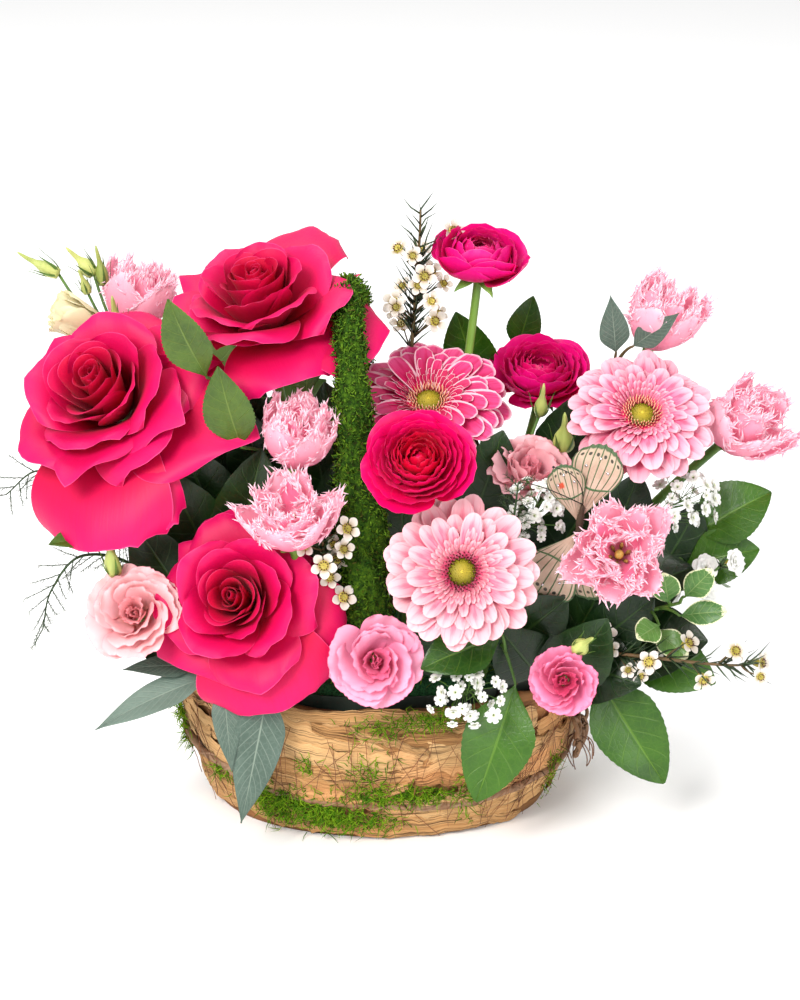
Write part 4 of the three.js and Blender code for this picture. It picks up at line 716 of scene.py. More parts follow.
greenStem = stemFinish("greenStem", (106, 140, 54), (66, 100, 36))
budGreen = stemFinish("budGreen", (186, 192, 112), (140, 154, 76), scale=140)
redStem = stemFinish("redStem", (132, 92, 60), (86, 70, 40))
print("The finishes of petals and leaves are mixed")


# Stems with their calyx, buds and leaves

stemFoot = 58


def stemPath(top, leaving, foot, lift, stations=22):
    # A cubic curve from under a head or from a tip down into the foam
    top = floats(top)
    end = np.array([foot[0], foot[1], stemFoot])
    rise = np.array([foot[0] * 0.12, foot[1] * 0.12, lift])
    return bezier([top, top + floats(leaving), end + rise, end], np.linspace(0, 1, stations))


def atShare(path, share):
    # The point at a share of a path's length
    walked = np.concatenate([[0], np.cumsum(np.linalg.norm(np.diff(path, axis=0), axis=1))])
    return np.array([np.interp(share * walked[-1], walked, path[:, k]) for k in range(3)])


def wayUp(path, share):
    # The way towards a path's first point, at a share of its length
    return unit(atShare(path, max(share - 0.01, 0)) - atShare(path, share + 0.01))


def between(start, end, stations=6, bow=(0, 0, 0)):
    # A path from start to end whose middle stands off by `bow`
    share = np.linspace(0, 1, stations)[:, None]
    middle = floats(bow) * 4 * share * (1 - share)
    return floats(start) * (1 - share) + floats(end) * share + middle


budValues = {"twist": 150, "ridge": 0.09, "sides": 15, "rows": 12, "sepals": 5}


def budShapes(root, base, tip, radius, chance):
    # A pointed bud on a thin stalk: rings that swell low and narrow to the tip, with three rolled
    # edges that wind up it, and long thin sepals pressed to its lower half
    base, tip = floats(base), floats(tip)
    length = np.linalg.norm(tip - base)
    stalk = between(root, base, 8, 0.12 * length * unit(np.cross(tip - base, [0, 1, 0.3])))
    share = np.linspace(0, 1, budValues["rows"])
    swell = np.sin(np.pi * np.minimum(1, share * 1.5 + 0.12))
    girth = radius * (0.42 + 0.62 * swell) * (1 - share) ** 0.55 + 0.35
    angle = 2 * np.pi * np.arange(budValues["sides"]) / budValues["sides"]
    wound = np.cos(3 * (angle[None] + np.radians(budValues["twist"]) * share[:, None]))
    axisLine = between(base, tip, budValues["rows"], 0.03 * length * chance.uniform(-1, 1, 3))
    skin = sweepRings([axisLine], [girth], budValues["sides"], budValues["ridge"] * wound[None])
    body = closeRings(skin, chance.random(), 0.5)
    place = flowerPlace(base, tip - base, 0)
    sepals = petals({
        "azimuth": np.arange(budValues["sepals"]) * 72.0 + 20, "rootRadius": 0.5 * radius, "rootHeight": -0.4,
        "length": length * 0.72, "width": radius * 0.62, "lean": (42, 16, -10, 30), "cup": (40, 30, 20, 0),
        "outline": (1.1, 0.9, 0.3, 0.05), "tipRound": 0.0, "thickness": 0.3, "tone": 0.2,
    }, 3, 10, place)
    return [coated(tubes([stalk], [np.linspace(0.9, 0.75, 8)], 7), 0), coated(body, 1), coated(sepals, 0)]


def stalkTo(path, along, base, tip, radius=0.9):
    # The leaf's own stalk, from its stem to where the blade begins
    base = floats(base)
    into = base + 0.06 * (floats(tip) - base)
    return tubes([np.concatenate([between(atShare(path, along), base, 6, (0, 0, 1.2)), [into]])],
                 [[radius * 1.1, radius, radius * 0.9, radius * 0.85, radius * 0.8, radius * 0.7, 0.3]], 7)


sepalKinds = {
    "rose": row(5, 4.6, -1, 24, 7, (70, 120, 150, 130), (30, 20, 10, 0), outline=(0.9, 0.9, 0.5, 0.06)),
    "gerbera": row(26, 5.5, -5.5, 11, 2.6, (60, 40, 30, 50), (20, 20, 10, 0), outline=(0.9, 1, 0.6, 0.1)),
    "ranunculus": row(5, 3.4, -0.6, 14, 8, (86, 100, 118, 130), (-20, -30, -30, -10),
        outline=(0.6, 1.1, 0.8, 0.2)),
    "tulip": row(3, 1.6, -0.2, 9, 5, (76, 60, 50, 40), (20, 20, 20, 10), outline=(0.8, 1, 0.6, 0.1)),
    "lisianthus": row(5, 2.6, -1.4, 13, 3, (80, 76, 80, 96), (20, 20, 10, 0), outline=(1, 0.8, 0.3, 0.06)),
}
# what the head's kind gives its stem: half thickness, calyx half thickness and depth, heart's height
stemKinds = {
    "rose": (2.8, 6.0, 9, 44), "gerbera": (2.3, 8.2, 8, 8), "ranunculus": (2.1, 4.3, 5, 21),
    "tulip": (2.4, 3.1, 4, 22), "lisianthus": (1.4, 3.5, 7, 25),
}


def stemShapes(kind, flower, chance):
    thick, calyx, calyxDepth, depth = stemKinds[kind]
    place = flowerPlace(flower["heart"], flower["facing"], depth)
    facing = unit(floats(flower["facing"]))
    path = stemPath(place[0], flower.get("leaving", -30 * facing), flower["foot"], flower.get("lift", 45), 30)
    length = np.linalg.norm(np.diff(path, axis=0), axis=1).sum()
    walked = np.linspace(0, length, len(path))
    radius = thick + (calyx - thick) * (1 - smooth(walked, 0, calyxDepth * 1.3))
    shapes = [coated(tubes([path], [radius], 12, chance.random()), 0)]
    sepals = dict(sepalKinds[kind])
    count = sepals.pop("count")
    sepals.update(azimuth=np.arange(count) * 360 / count + chance.uniform(-5, 5, count),
                  phase=chance.uniform(0, 6, count), tone=chance.random(count),
                  thickness=0.5, buckle=0.6)
    shapes.append(coated(petals(sepals, 5, 9, place), 0))
    for bud in flower.get("buds", ()):
        along, base, tip, girth = bud
        shapes.extend(budShapes(atShare(path, along), base, tip, girth, chance))
    for along, base, tip, width, face in flower.get("leaves", ()):
        blade = {"base": base, "tip": tip, "width": width, "face": face, "teeth": 0.1, "toothCount": 22,
                 "wave": 0.06, "veinCount": 8}
        shapes.append(coated(leaves(blade, 13, 45), 2))
        shapes.append(coated(stalkTo(path, along, base, tip, 1.1), 0))
    return shapes


# Heads. Each recipe is a list of rings of petals, from the middle of the flower outwards.

def ringForm(ring, chance, scale):
    # The petals of one ring, spread evenly, each a little astray in place, size and lean
    count = ring["count"]
    stray = lambda share: 1 + share * chance.uniform(-1, 1, count)
    swing = ring.get("swing", 4) * chance.uniform(-1, 1, count)
    form = dict(ring)
    form["azimuth"] = ring.get("start", 0) + 360 / count * (np.arange(count) + ring.get("stray", 0.1)
                                                            * chance.uniform(-1, 1, count))
    form["length"] = ring["length"] * scale * stray(0.05)
    form["width"] = ring["width"] * scale * stray(0.06)
    form["lean"] = [angle + swing for angle in ring["lean"]]
    form["phase"] = chance.uniform(0, 2 * np.pi, count)
    form["tone"] = chance.random(count)
    return form


roseRings = [
    row(2, 1.6, 12, 31, 15, (4, 2, -4, -14), (110, 130, 140, 150), 1.0, spiral=0.7,
        outline=(0.5, 0.9, 1.1, 0.8), tipRound=0.08),
    row(3, 2.4, 11, 33, 18, (8, 5, -1, 10), (90, 95, 100, 100), 1.0, 30, spiral=1.0,
        outline=(0.5, 0.9, 1.15, 0.8), tipRound=0.08),
    row(3, 3, 10, 34.5, 23, (15, 9, 0, 22), (75, 80, 82, 72), 0.9, 85, spiral=1.2,
        outline=(0.45, 0.9, 1.2, 0.8), tipRound=0.1),
    row(3, 3.4, 9, 36.5, 30, (24, 12, 2, 34), (75, 76, 76, 60), 0.8, 20, spiral=1.5,
        outline=(0.45, 0.9, 1.25, 0.8), tipRound=0.12),
    row(4, 3.8, 8, 38.5, 33, (34, 18, 3, 46), (64, 66, 64, 44), 0.65, 70, spiral=1.8,
        outline=(0.4, 0.9, 1.3, 0.75), tipRound=0.14, edgeRoll=0.05),
    row(4, 4.2, 7, 41, 39, (44, 24, 6, 60), (58, 60, 56, 30), 0.5, 25, spiral=2.2,
        outline=(0.4, 0.9, 1.35, 0.75), tipRound=0.16, edgeRoll=0.1, ruffle=0.6),
    row(4, 4.6, 5.5, 46, 45, (54, 34, 20, 84), (50, 48, 36, 0), 0.35, 60, spiral=2.6,
        outline=(0.38, 0.9, 1.45, 0.95), tipRound=0.26, tipPower=1.7, edgeRoll=0.26, ruffle=0.9, buckle=1.0),
    row(4, 5, 4, 51, 48, (64, 52, 44, 112), (42, 32, 12, -24), 0.15, 10, spiral=2.6,
        outline=(0.36, 0.9, 1.5, 1.0), tipRound=0.28, tipPower=1.6, edgeRoll=0.32, ruffle=1.2, buckle=1.8,
        swing=9),
]


# The ways in which the large outer petals of a rose end: a corner at the tip, a broad rolled end, and
# a narrow petal whose sides fold back
petalEnds = {
    "corner": {
        "tipRound": 0.42, "tipPower": 1.15, "edgeRoll": 0.12, "outline": (0.34, 0.95, 1.5, 1.0),
        "lean": (58, 62, 84, 112), "cup": (34, 18, -6, -34)},
    "broad": {
        "tipRound": 0.14, "tipPower": 2.6, "edgeRoll": 0.22, "outline": (0.34, 0.95, 1.45, 1.05),
        "lean": (56, 66, 84, 124), "cup": (34, 16, -10, -44), "notch": -0.05},
    "folded": {
        "tipRound": 0.55, "tipPower": 1.0, "edgeRoll": -0.35, "outline": (0.4, 0.9, 1.3, 0.9),
        "lean": (50, 66, 80, 92), "cup": (30, 36, 50, 70)},
    "upright": {
        "tipRound": 0.3, "tipPower": 1.5, "edgeRoll": 0.2, "outline": (0.34, 0.9, 1.4, 0.95),
        "lean": (74, 62, 48, 66), "cup": (40, 44, 40, 10)},
}


def aimedPetals(flower, place, chance):
    # Petals whose tips reach given places: the middle line of each end's lean is summed once, then
    # turned by the angle and stretched by the length that bring its end to the place
    origin, axes = place
    tips = floats([tip for tip, width, end in flower["outer"]])
    target = (tips - origin) @ axes
    root = 5.0
    away = np.hypot(target[:, 0], target[:, 1]) - root
    rise = target[:, 2] - 3.0
    shapes = []
    for k, (tip, width, end) in enumerate(flower["outer"]):
        form = dict(petalEnds[end])
        angle = np.radians(ease(form["lean"], np.linspace(0, 1, 41)))
        whole = np.array([np.sin(angle).mean(), np.cos(angle).mean()])
        turn = np.degrees(np.arctan2(away[k], rise[k]) - np.arctan2(whole[0], whole[1]))
        form["lean"] = [lean + turn for lean in form["lean"]]
        form.update({
            "azimuth": np.degrees(np.arctan2(target[k, 1], target[k, 0])) + np.zeros(1),
            "length": np.hypot(away[k], rise[k]) / np.hypot(*whole), "width": width, "rootRadius": root,
            "rootHeight": 3.0, "spiral": 1.5, "ruffle": 1.1, "ruffleWaves": 2.6, "buckle": 1.6,
            "phase": chance.uniform(0, 6), "tone": chance.random(), "thickness": 0.5, "ring": 0.0,
        })
        shapes.append(coated(petals(form, 19, 23, place), 0))
    return shapes


def roseHead(flower, place, chance):
    scale = flower["size"] / 50
    inner = [coated(petals(ringForm(ring, chance, scale), 13, 16, place), 0) for ring in roseRings]
    return inner + aimedPetals(flower, place, chance)


def gerberaRings(radius):
    ray = {"outline": (0.3, 0.75, 1.25, 0.85), "tipRound": 0.13, "tipPower": 2.4, "notch": 0.02,
           "grooves": 0.34, "thickness": 0.45, "stray": 0.34, "swing": 8, "spiral": 0.6, "buckle": 0.5}
    cup = (26, 22, 18, 12)
    rings = [
        row(19, 5, 2.4, radius - 5, 0.35 * radius, (86, 82, 86, 98), cup, 0.0, grid=(7, 9)),
        row(19, 5, 4.2, 0.93 * radius - 5, 0.32 * radius, (78, 78, 84, 94), cup, 0.1, 9, grid=(7, 9)),
        row(19, 5.4, 5.6, 0.76 * radius - 5.4, 0.25 * radius, (66, 74, 80, 88), cup, 0.3, 3, grid=(7, 8)),
        row(24, 0.24 * radius, 6.0, 0.36 * radius, 0.13 * radius, (50, 64, 74, 84), cup, 0.6,
            grid=(5, 6), grooves=0.15),
        row(34, 0.25 * radius, 6.4, 0.24 * radius, 0.08 * radius, (30, 50, 66, 78), cup, 0.8, 5,
            grid=(3, 6), grooves=0),
        row(40, 0.25 * radius, 6.8, 0.15 * radius, 0.055 * radius, (16, 34, 54, 66), cup, 1.0,
            grid=(3, 5), grooves=0),
    ]
    return [{**ray, **ring} for ring in rings]


def gerberaHead(flower, place, chance):
    radius = flower["size"]
    shapes = []
    for ring in gerberaRings(radius):
        shapes.append(coated(petals(ringForm(ring, chance, 1), *ring["grid"], place), 0))
    # the middle: a low dome under florets set out by the golden angle
    share = np.linspace(0.0, 1.0, 9)[:, None]
    angle = 2 * np.pi * np.arange(24) / 24
    dome = 0.22 * radius * np.cos(share * np.pi / 2 * 0.96)
    height = 3 + 5.4 * np.sin(share * np.pi / 2)
    rings = circled(dome, angle, height)
    shapes.append(coated(closeRings(toPlace(rings, place)[None], 0.3, 1.0), 1))
    # olive florets within, dark ones with pale tips round them
    for count, low, high, grow, finish in ((80, 0.0, 0.14, 1.6, 1), (110, 0.14, 0.24, 3.6, 2)):
        order = np.arange(count)
        reach = radius * np.sqrt(low**2 + (high**2 - low**2) * (order + 0.5) / count)
        turn = np.radians(137.508 * order)
        middle = (reach / (0.26 * radius)) ** 2
        roots = circled(reach, turn, 7.1 - 1.6 * middle)
        tips = roots * (1 + 0.2 * middle[:, None] * [1, 1, 0])
        tips[:, 2] += grow + chance.uniform(0, 0.7, count)
        shapes.append(coated(spikes(toPlace(roots, place), toPlace(tips, place), 0.55, 0,
                                    chance.random(count), 0), finish))
    return shapes


# Nested bowls of broad round petals, their rims close to circles, round a ball that sits low
ranunculusRings = [
    row(3, 0.8, 5, 12, 12, (70, 20, -40, -84), (60, 70, 70, 60), 0.55, outline=(0.4, 1.1, 1.2, 0.5)),
    row(4, 1.0, 4.4, 16, 15, (74, 24, -24, -56), (56, 66, 66, 56), 0.9, 40, outline=(0.4, 1.1, 1.2, 0.7)),
    row(5, 1.4, 4.0, 21, 18, (80, 34, -6, -34), (52, 54, 54, 46), 1.0, 10),
    row(5, 1.8, 3.6, 24, 22, (84, 40, 0, -20), (50, 50, 50, 42), 0.95, 40),
    row(5, 2.0, 3.1, 27, 25, (86, 46, 5, -10), (50, 48, 46, 38), 0.85, 5),
    row(6, 2.2, 2.6, 29, 28, (88, 52, 10, -3), (50, 46, 42, 34), 0.7, 25),
    row(6, 2.5, 2.1, 31, 31, (90, 58, 16, 3), (50, 44, 38, 30), 0.5, 50),
    row(6, 2.7, 1.6, 33, 34, (92, 64, 24, 10), (50, 42, 34, 24), 0.35, 15),
    row(6, 2.9, 1.1, 35, 37, (94, 70, 34, 20), (48, 40, 30, 18), 0.2, 40),
    row(5, 3.1, 0.6, 37, 42, (95, 76, 46, 36), (48, 38, 24, 10), 0.1, 5),
    row(5, 3.2, 0.3, 38.5, 44, (96, 82, 60, 58), (46, 36, 18, 0), 0.0, 40),
]


def narrowed(rings, closing):
    # The rings with their petals leaning out less and less towards the tip
    return [{**ring, "lean": [lean - closing * k for k, lean in enumerate(ring["lean"])]} for ring in rings]


def ranunculusHead(flower, place, chance):
    scale = flower["size"] / 44
    common = {"outline": (0.3, 0.95, 1.4, 0.85), "tipRound": 0.2, "tipPower": 2.0, "spiral": 0.9,
              "thickness": 0.4, "buckle": 0.8, "ruffle": 0.5, "ruffleWaves": 3.2, "swing": 5, "stray": 0.25}
    return [coated(petals(ringForm({**common, **ring}, chance, scale), 11, 12, place), 0)
            for ring in narrowed(ranunculusRings, flower.get("closing", 0))]


def tulipRings(openBy):
    # the wider the mouth the more the upper parts of the petals lean out
    lean = lambda first, second, add: (first, second, 4 + add + openBy, -10 + add + 1.6 * openBy)
    return [
        row(4, 1.2, 5, 36, 22, lean(40, 10, 0), (60, 62, 60, 56), 1.0, 20),
        row(5, 1.6, 3, 41, 27, lean(58, 22, 2), (60, 58, 54, 50), 0.6),
        row(5, 2.2, 0.6, 46, 33, lean(74, 34, 4), (60, 58, 52, 44), 0.0, 36),
    ]


fringeValues = {"perPetal": 93, "length": 6.8, "radius": 0.6, "from": 0.42, "inward": 2.0}


def fringeShapes(middle, chance, scale):
    # Pointed crystals round the upper rim of each petal: their roots lie on the two sides and the
    # tip of its grid, and they point away from the grid's inner rows, scattered to both sides
    count = len(middle)
    start = int(middle.shape[2] * fringeValues["from"])
    sides = [(middle[:, 0, start:], middle[:, 1, start:]), (middle[:, -1, start:], middle[:, -2, start:])]
    border = np.concatenate([sides[0][0], middle[:, :, -1], sides[1][0][:, ::-1]], 1)
    inside = np.concatenate([sides[0][1], middle[:, :, -3], sides[1][1][:, ::-1]], 1)
    number = fringeValues["perPetal"]
    spot = chance.uniform(0, border.shape[1] - 1.001, (count, number))
    low = spot.astype(int)
    part = (spot - low)[..., None]
    pick = lambda table, index: np.take_along_axis(table, index[..., None], 1)
    edge = pick(border, low) * (1 - part) + pick(border, low + 1) * part
    within = pick(inside, low) * (1 - part) + pick(inside, low + 1) * part
    away = unit(edge - within)
    back = fringeValues["inward"] * chance.random((count, number, 1)) ** 2.4
    roots = edge * (1 - back) + within * back
    scatter = chance.normal(0, 0.36, (count, number, 3))
    reach = fringeValues["length"] * scale * chance.uniform(0.5, 1.25, (count, number, 1))
    tips = roots + unit(away + scatter) * reach
    bend = chance.normal(0, 0.3, (count * number, 3))
    return spikes(roots.reshape(-1, 3), tips.reshape(-1, 3), fringeValues["radius"], bend,
                  chance.random(count * number), 0)


def petalGrid(form, across, along, place):
    # The middles of petals before they get their thickness, read back from their closed skins
    shape = petals({**form, "thickness": 0.001}, across, along, place)
    count = np.size(form["azimuth"])
    return shape["points"].reshape(count, -1, 3)[:, :across * along].reshape(count, across, along, 3)


def tulipHead(flower, place, chance):
    scale = flower["size"] / 52
    shapes = []
    common = {"outline": (0.3, 0.95, 1.25, 0.62), "tipRound": 0.2, "tipPower": 2, "spiral": 1.0,
              "ruffle": 0.9, "ruffleWaves": 4, "buckle": 1.1, "thickness": 0.6, "grooves": 0.35,
              "stray": 0.3, "swing": 8}
    for ring in tulipRings(flower["open"]):
        form = ringForm({**common, **ring}, chance, scale)
        shapes.append(coated(petals(form, 11, 13, place), 0))
        shapes.append(coated(fringeShapes(petalGrid(form, 11, 13, place), chance, scale), 1))
    # six stamens round a three-cornered pistil
    angle = np.radians(np.arange(6) * 60 + 15)
    foot = circled(2.2, angle, 4.0)
    head = circled(5.2, angle, 17.0)
    paths = np.stack([foot * (1 - k) + head * k for k in np.linspace(0, 1, 6)], 1)
    shapes.append(coated(tubes(toPlace(paths, place), [0.6, 0.55, 0.5, 1.0, 1.1, 0.5], 6, 0.1, 0), 2))
    pistil = toPlace([[0, 0, 2], [0, 0, 8], [0, 0, 13], [0, 0, 14.5], [0, 0, 15.5]], place)
    shapes.append(coated(tubes([pistil], [2, 2.2, 1.7, 2.4, 1.0], 9, 0.9, 0), 2))
    return shapes


# Open bowls: broad petals with finely ruffled rims round a few small folded ones
lisianthusRings = [
    row(3, 0.8, 5, 18, 15, (6, 0, -8, 26), (90, 96, 90, 60), 1.0, spiral=1.2, outline=(0.5, 1.0, 1.3, 0.8)),
    row(3, 2.6, 5, 25, 21, (26, 8, 2, 44), (76, 74, 60, 20), 0.85, 50, fold=0.22, buckle=1.4),
    row(4, 3.4, 3, 32, 33, (48, 28, 8, 34), (60, 56, 48, 30), 0.5, 10, spiral=3.4),
    row(5, 3.2, 1.6, 37, 40, (58, 42, 28, 60), (54, 46, 32, 6), 0.2, 36, ruffle=0.9, spiral=3.2),
    row(5, 2.8, 0.6, 41, 45, (62, 54, 50, 82), (50, 36, 16, -10), 0.0, 4, ruffle=1.1, spiral=2.4),
]


closedRings = [
    row(3, 1.4, 3, 29, 22, (24, 8, -8, -4), (80, 84, 90, 90), 0.6, spiral=1.6, ruffle=0.5),
    row(4, 1.8, 1.4, 31, 26, (32, 14, -10, 14), (76, 80, 84, 70), 0.2, 40, spiral=2.0, ruffle=1.2),
]


def lisianthusHead(flower, place, chance):
    scale = flower["size"] / 41
    common = {"outline": (0.28, 0.9, 1.4, 1.0), "tipRound": 0.16, "tipPower": 2.3, "ruffleWaves": 3.4,
              "buckle": 1.9, "ruffle": 0.7, "teeth": 0.011, "thickness": 0.4, "stray": 0.35, "swing": 9}
    if flower.get("closed"):
        scale = flower["size"] / 22
        rings = closedRings
    else:
        rings = narrowed(lisianthusRings, flower.get("closing", 0))
    return [coated(petals(ringForm({**common, **ring}, chance, scale), 21, 15, place), 0) for ring in rings]


headMakers = {"rose": roseHead, "gerbera": gerberaHead, "ranunculus": ranunculusHead, "tulip": tulipHead,
              "lisianthus": lisianthusHead}
stamenFinish = stemFinish("tulipStamen", (214, 196, 96), (120, 88, 40), scale=300)

# Where each flower is, which way it faces, and what its stem carries. A bud is its share of the
# way down the stem, its base, its tip and its half thickness.
flowers = {
    "rose_left": {
        "size": 52, "heart": (-140, -27, 238), "facing": (-0.35, -0.56, 0.75), "foot": (-57, 2), "roll": 34,
        "seed": 11,
        "outer": [
            ((-57, -45, 211), 62, "corner"), ((-138, -58, 158), 66, "broad"),
            ((-107, -57, 166), 34, "broad"), ((-178, 2, 193), 56, "corner"), ((-135, 38, 246), 56, "broad"),
            ((-102, 16, 245), 44, "upright"), ((-75, -13, 238), 34, "folded"),
            ((-92, -54, 222), 44, "corner"), ((-150, -60, 192), 44, "corner")],
        "leaves": [(0.32, (-124, -34, 156), (-160, -50, 158), 20, (0, -0.5, 0.85))]},
    "rose_top": {
        "size": 47, "heart": (-61, -6, 286), "facing": (-0.15, -0.26, 0.95), "foot": (-30, 14), "roll": -20,
        "seed": 23,
        "outer": [
            ((-100, 43, 264), 34, "corner"), ((-91, 8, 262), 40, "broad"), ((-34, 66, 282), 42, "broad"),
            ((-68, 62, 272), 50, "broad"), ((-9, 31, 268), 26, "folded"), ((2, -16, 249), 48, "broad"),
            ((-40, -42, 238), 52, "broad"), ((-78, -28, 250), 38, "corner")],
        "leaves": [
            (0.36, (-66, -44, 206), (-76, -50, 249), 26, (-0.2, -0.9, 0.2)),
            (0.2, (-82, -40, 240), (-99, -46, 281), 24, (-0.3, -0.9, 0.3)),
            (0.3, (-38, 52, 196), (-34, 84, 222), 30, (0, 0.6, 0.7))]},
    "rose_front": {
        "size": 42, "heart": (-73, -90, 150), "facing": (-0.25, -0.83, 0.5), "foot": (-46, -31), "roll": 3,
        "seed": 37,
        "outer": [
            ((-107, -62, 104), 52, "corner"), ((-50, -85, 85), 60, "broad"), ((-21, -76, 112), 50, "broad"),
            ((-98, -42, 155), 40, "corner"), ((-75, -36, 168), 46, "broad"), ((-50, -34, 172), 44, "corner"),
            ((-28, -54, 150), 44, "corner")]},
    "gerbera_back": {
        "size": 41, "heart": (24, 8, 212), "facing": (-0.05, -0.47, 0.88), "foot": (8, 4), "seed": 41,
        "finish": gerberaDeep},
    "gerbera_right": {
        "size": 38, "heart": (128, -15, 213), "facing": (0.04, -0.6, 0.8), "foot": (60, -4), "seed": 42,
        "finish": gerberaMid},
    "gerbera_front": {
        "size": 38, "heart": (39, -90, 161), "facing": (-0.05, -0.88, 0.47), "foot": (40, -38), "seed": 43,
        "finish": gerberaPale, "florets": gerberaFlorets},
    "ranunculus_top": {
        "size": 31, "heart": (50, 25, 290), "facing": (0.06, -0.26, 0.96), "foot": (25, 18), "seed": 51,
        "closing": 15, "finish": magentaPetal},
    "ranunculus_right": {
        "size": 31, "heart": (81, 38, 225), "facing": (0, -0.38, 0.93), "foot": (43, 16), "seed": 52,
        "closing": 5, "finish": magentaPetal},
    "ranunculus_centre": {
        "size": 30, "heart": (18, -84, 221), "facing": (-0.05, -0.68, 0.73), "foot": (27, -24),
        "leaving": (7, 6, -30), "seed": 53},
    "tulip_back_left": {
        "size": 44, "open": 0, "heart": (-123, 68, 249), "facing": (0.25, 0.13, 0.86), "foot": (-60, 30),
        "roll": 10, "seed": 61},
    "tulip_left_upper": {
        "size": 42, "open": -2, "heart": (-40, -44, 216), "facing": (0.1, -0.25, 0.96), "foot": (-30, -12),
        "roll": 30, "seed": 62},
    "tulip_left_lower": {
        "size": 42, "open": 16, "heart": (-42, -78, 185), "facing": (-0.05, -0.4, 0.91), "foot": (-31, -30),
        "leaving": (4, 14, -26), "seed": 63},
    "tulip_back_right": {
        "size": 44, "open": 4, "heart": (141, 28, 251), "facing": (0.3, -0.16, 0.93), "foot": (57, 24),
        "roll": 20, "seed": 64},
    "tulip_right": {
        "size": 46, "open": 6, "heart": (183, 6, 201), "facing": (0.55, -0.41, 0.7), "foot": (74, 9),
        "seed": 65},
    "tulip_front_right": {
        "size": 42, "open": 24, "heart": (114, -76, 165), "facing": (-0.05, -0.85, 0.51), "foot": (60, -24),
        "leaving": (3, 30, -6), "seed": 66},
    "lisianthus_left": {
        "size": 25, "heart": (-120, -78, 137), "facing": (-0.15, -0.81, 0.55), "foot": (-66, -18),
        "seed": 71, "finish": lisianthusPeach,
        "buds": [
            (0.12, (-128, -54, 144), (-131, -58, 166), 4), (0.16, (-124, -54, 112), (-131, -66, 106), 4)]},
    "lisianthus_front": {
        "size": 23, "heart": (-2, -101, 118), "facing": (0, -0.95, 0.33), "foot": (17, -42),
        "leaving": (12, 4, -10), "lift": 34, "seed": 72, "finish": lisianthusPink},
    "lisianthus_front_right": {
        "size": 17, "heart": (87, -96, 106), "facing": (-0.1, -0.93, 0.38), "foot": (54, -33),
        "leaving": (0, 18, 2), "lift": 46, "seed": 73, "finish": lisianthusDeep,
        "buds": [(0.16, (95, -74, 113), (102, -84, 124), 4.4)]},
    "lisianthus_centre": {
        "size": 22, "heart": (75, -30, 198), "facing": (0.1, -0.5, 0.85), "foot": (45, -11), "seed": 74,
        "closing": 9, "finish": lisianthusDusty,
        "buds": [(0.1, (90, -10, 192), (90, -18, 214), 5.5), (0.16, (79, 2, 206), (80, -10, 226), 3.4)]},
    "lisianthus_cream": {
        "size": 22, "heart": (-158, 46, 244), "facing": (-0.8, -0.11, 0.53), "foot": (-73, 12), "seed": 75,
        "finish": lisianthusCream, "closed": True,
        "buds": [
            (0.1, (-164, 70, 257), (-184, 68, 269), 3.6), (0.13, (-146, 70, 257), (-159, 66, 272), 4.2),
            (0.14, (-141, 68, 252), (-144, 66, 273), 3.5), (0.16, (-149, 66, 248), (-153, 64, 261), 2.6),
            (0.2, (-131, 34, 236), (-133, 30, 258), 4.6)]},
}
headFinishes = {"rose": rosePetal, "ranunculus": ranunculusPetal, "tulip": tulipPetal}


def growFlowers():
    for name, flower in flowers.items():
        kind = name.split("_")[0]
        chance = np.random.default_rng(flower["seed"])
        place = flowerPlace(flower["heart"], flower["facing"], stemKinds[kind][3], flower.get("roll", 0))
        finish = flower.get("finish") or headFinishes[kind]
        extras = {"gerbera": [gerberaHeart, flower.get("florets", creamFlorets)],
                  "tulip": [tulipFringe, stamenFinish]}.get(kind, [])
        headName = name + ("_rays" if kind == "gerbera" else "_petals")
        putPiece(headName + "_seen", headMakers[kind](flower, place, chance), [finish, *extras],
                 kind + "_petal", [headName])
        putPiece(name + "_stem_seen", stemShapes(kind, flower, chance), [greenStem, budGreen, roseLeaf],
                 "green_stem", [name + "_stem"])
    print("The flowers are grown")


growFlowers()


# Foliage

def alongSpline(points, stations, wrap=False):
    # A Catmull-Rom curve: each span between two points bends towards the neighbours on both sides
    points = floats(points)
    count = len(points)
    spans = count if wrap else count - 1
    place = np.linspace(0, spans, stations, endpoint=not wrap)
    low = np.minimum(place.astype(int), spans - 1)
    t = (place - low)[:, None]
    if wrap:
        before, start, end, after = (points[(low + k) % count] for k in (-1, 0, 1, 2))
    else:
        longer = np.concatenate([[2 * points[0] - points[1]], points, [2 * points[-1] - points[-2]]])
        before, start, end, after = (longer[low + k] for k in range(4))
    return 0.5 * (2 * start + (end - before) * t + (2 * before - 5 * start + 4 * end - after) * t**2
                  + (3 * start - before - 3 * end + after) * t**3)


# the first word of a plant's name is its kind: blade, stem and how its leaves differ
plantKinds = {
    "salal": (salalLeaf, greenStem, {
        "teeth": 0.035, "toothCount": 34, "fold": 0.1, "veinCount": 6.5, "wave": 0.05, "curl": 0.03,
        "bluntness": 0.75}),
    "eucalyptus": (eucalyptusLeaf, redStem, {
        "fold": 0.05, "veinCount": 14, "veinDepth": 0.2, "wave": 0.05, "bluntness": 1.1, "widest": 0.34}),
    "pittosporum": (pittosporumLeaf, greenStem, {
        "fold": 0.06, "veinCount": 6, "veinDepth": 0.15, "wave": 0.16, "bluntness": 0.6, "widest": 0.5}),
}

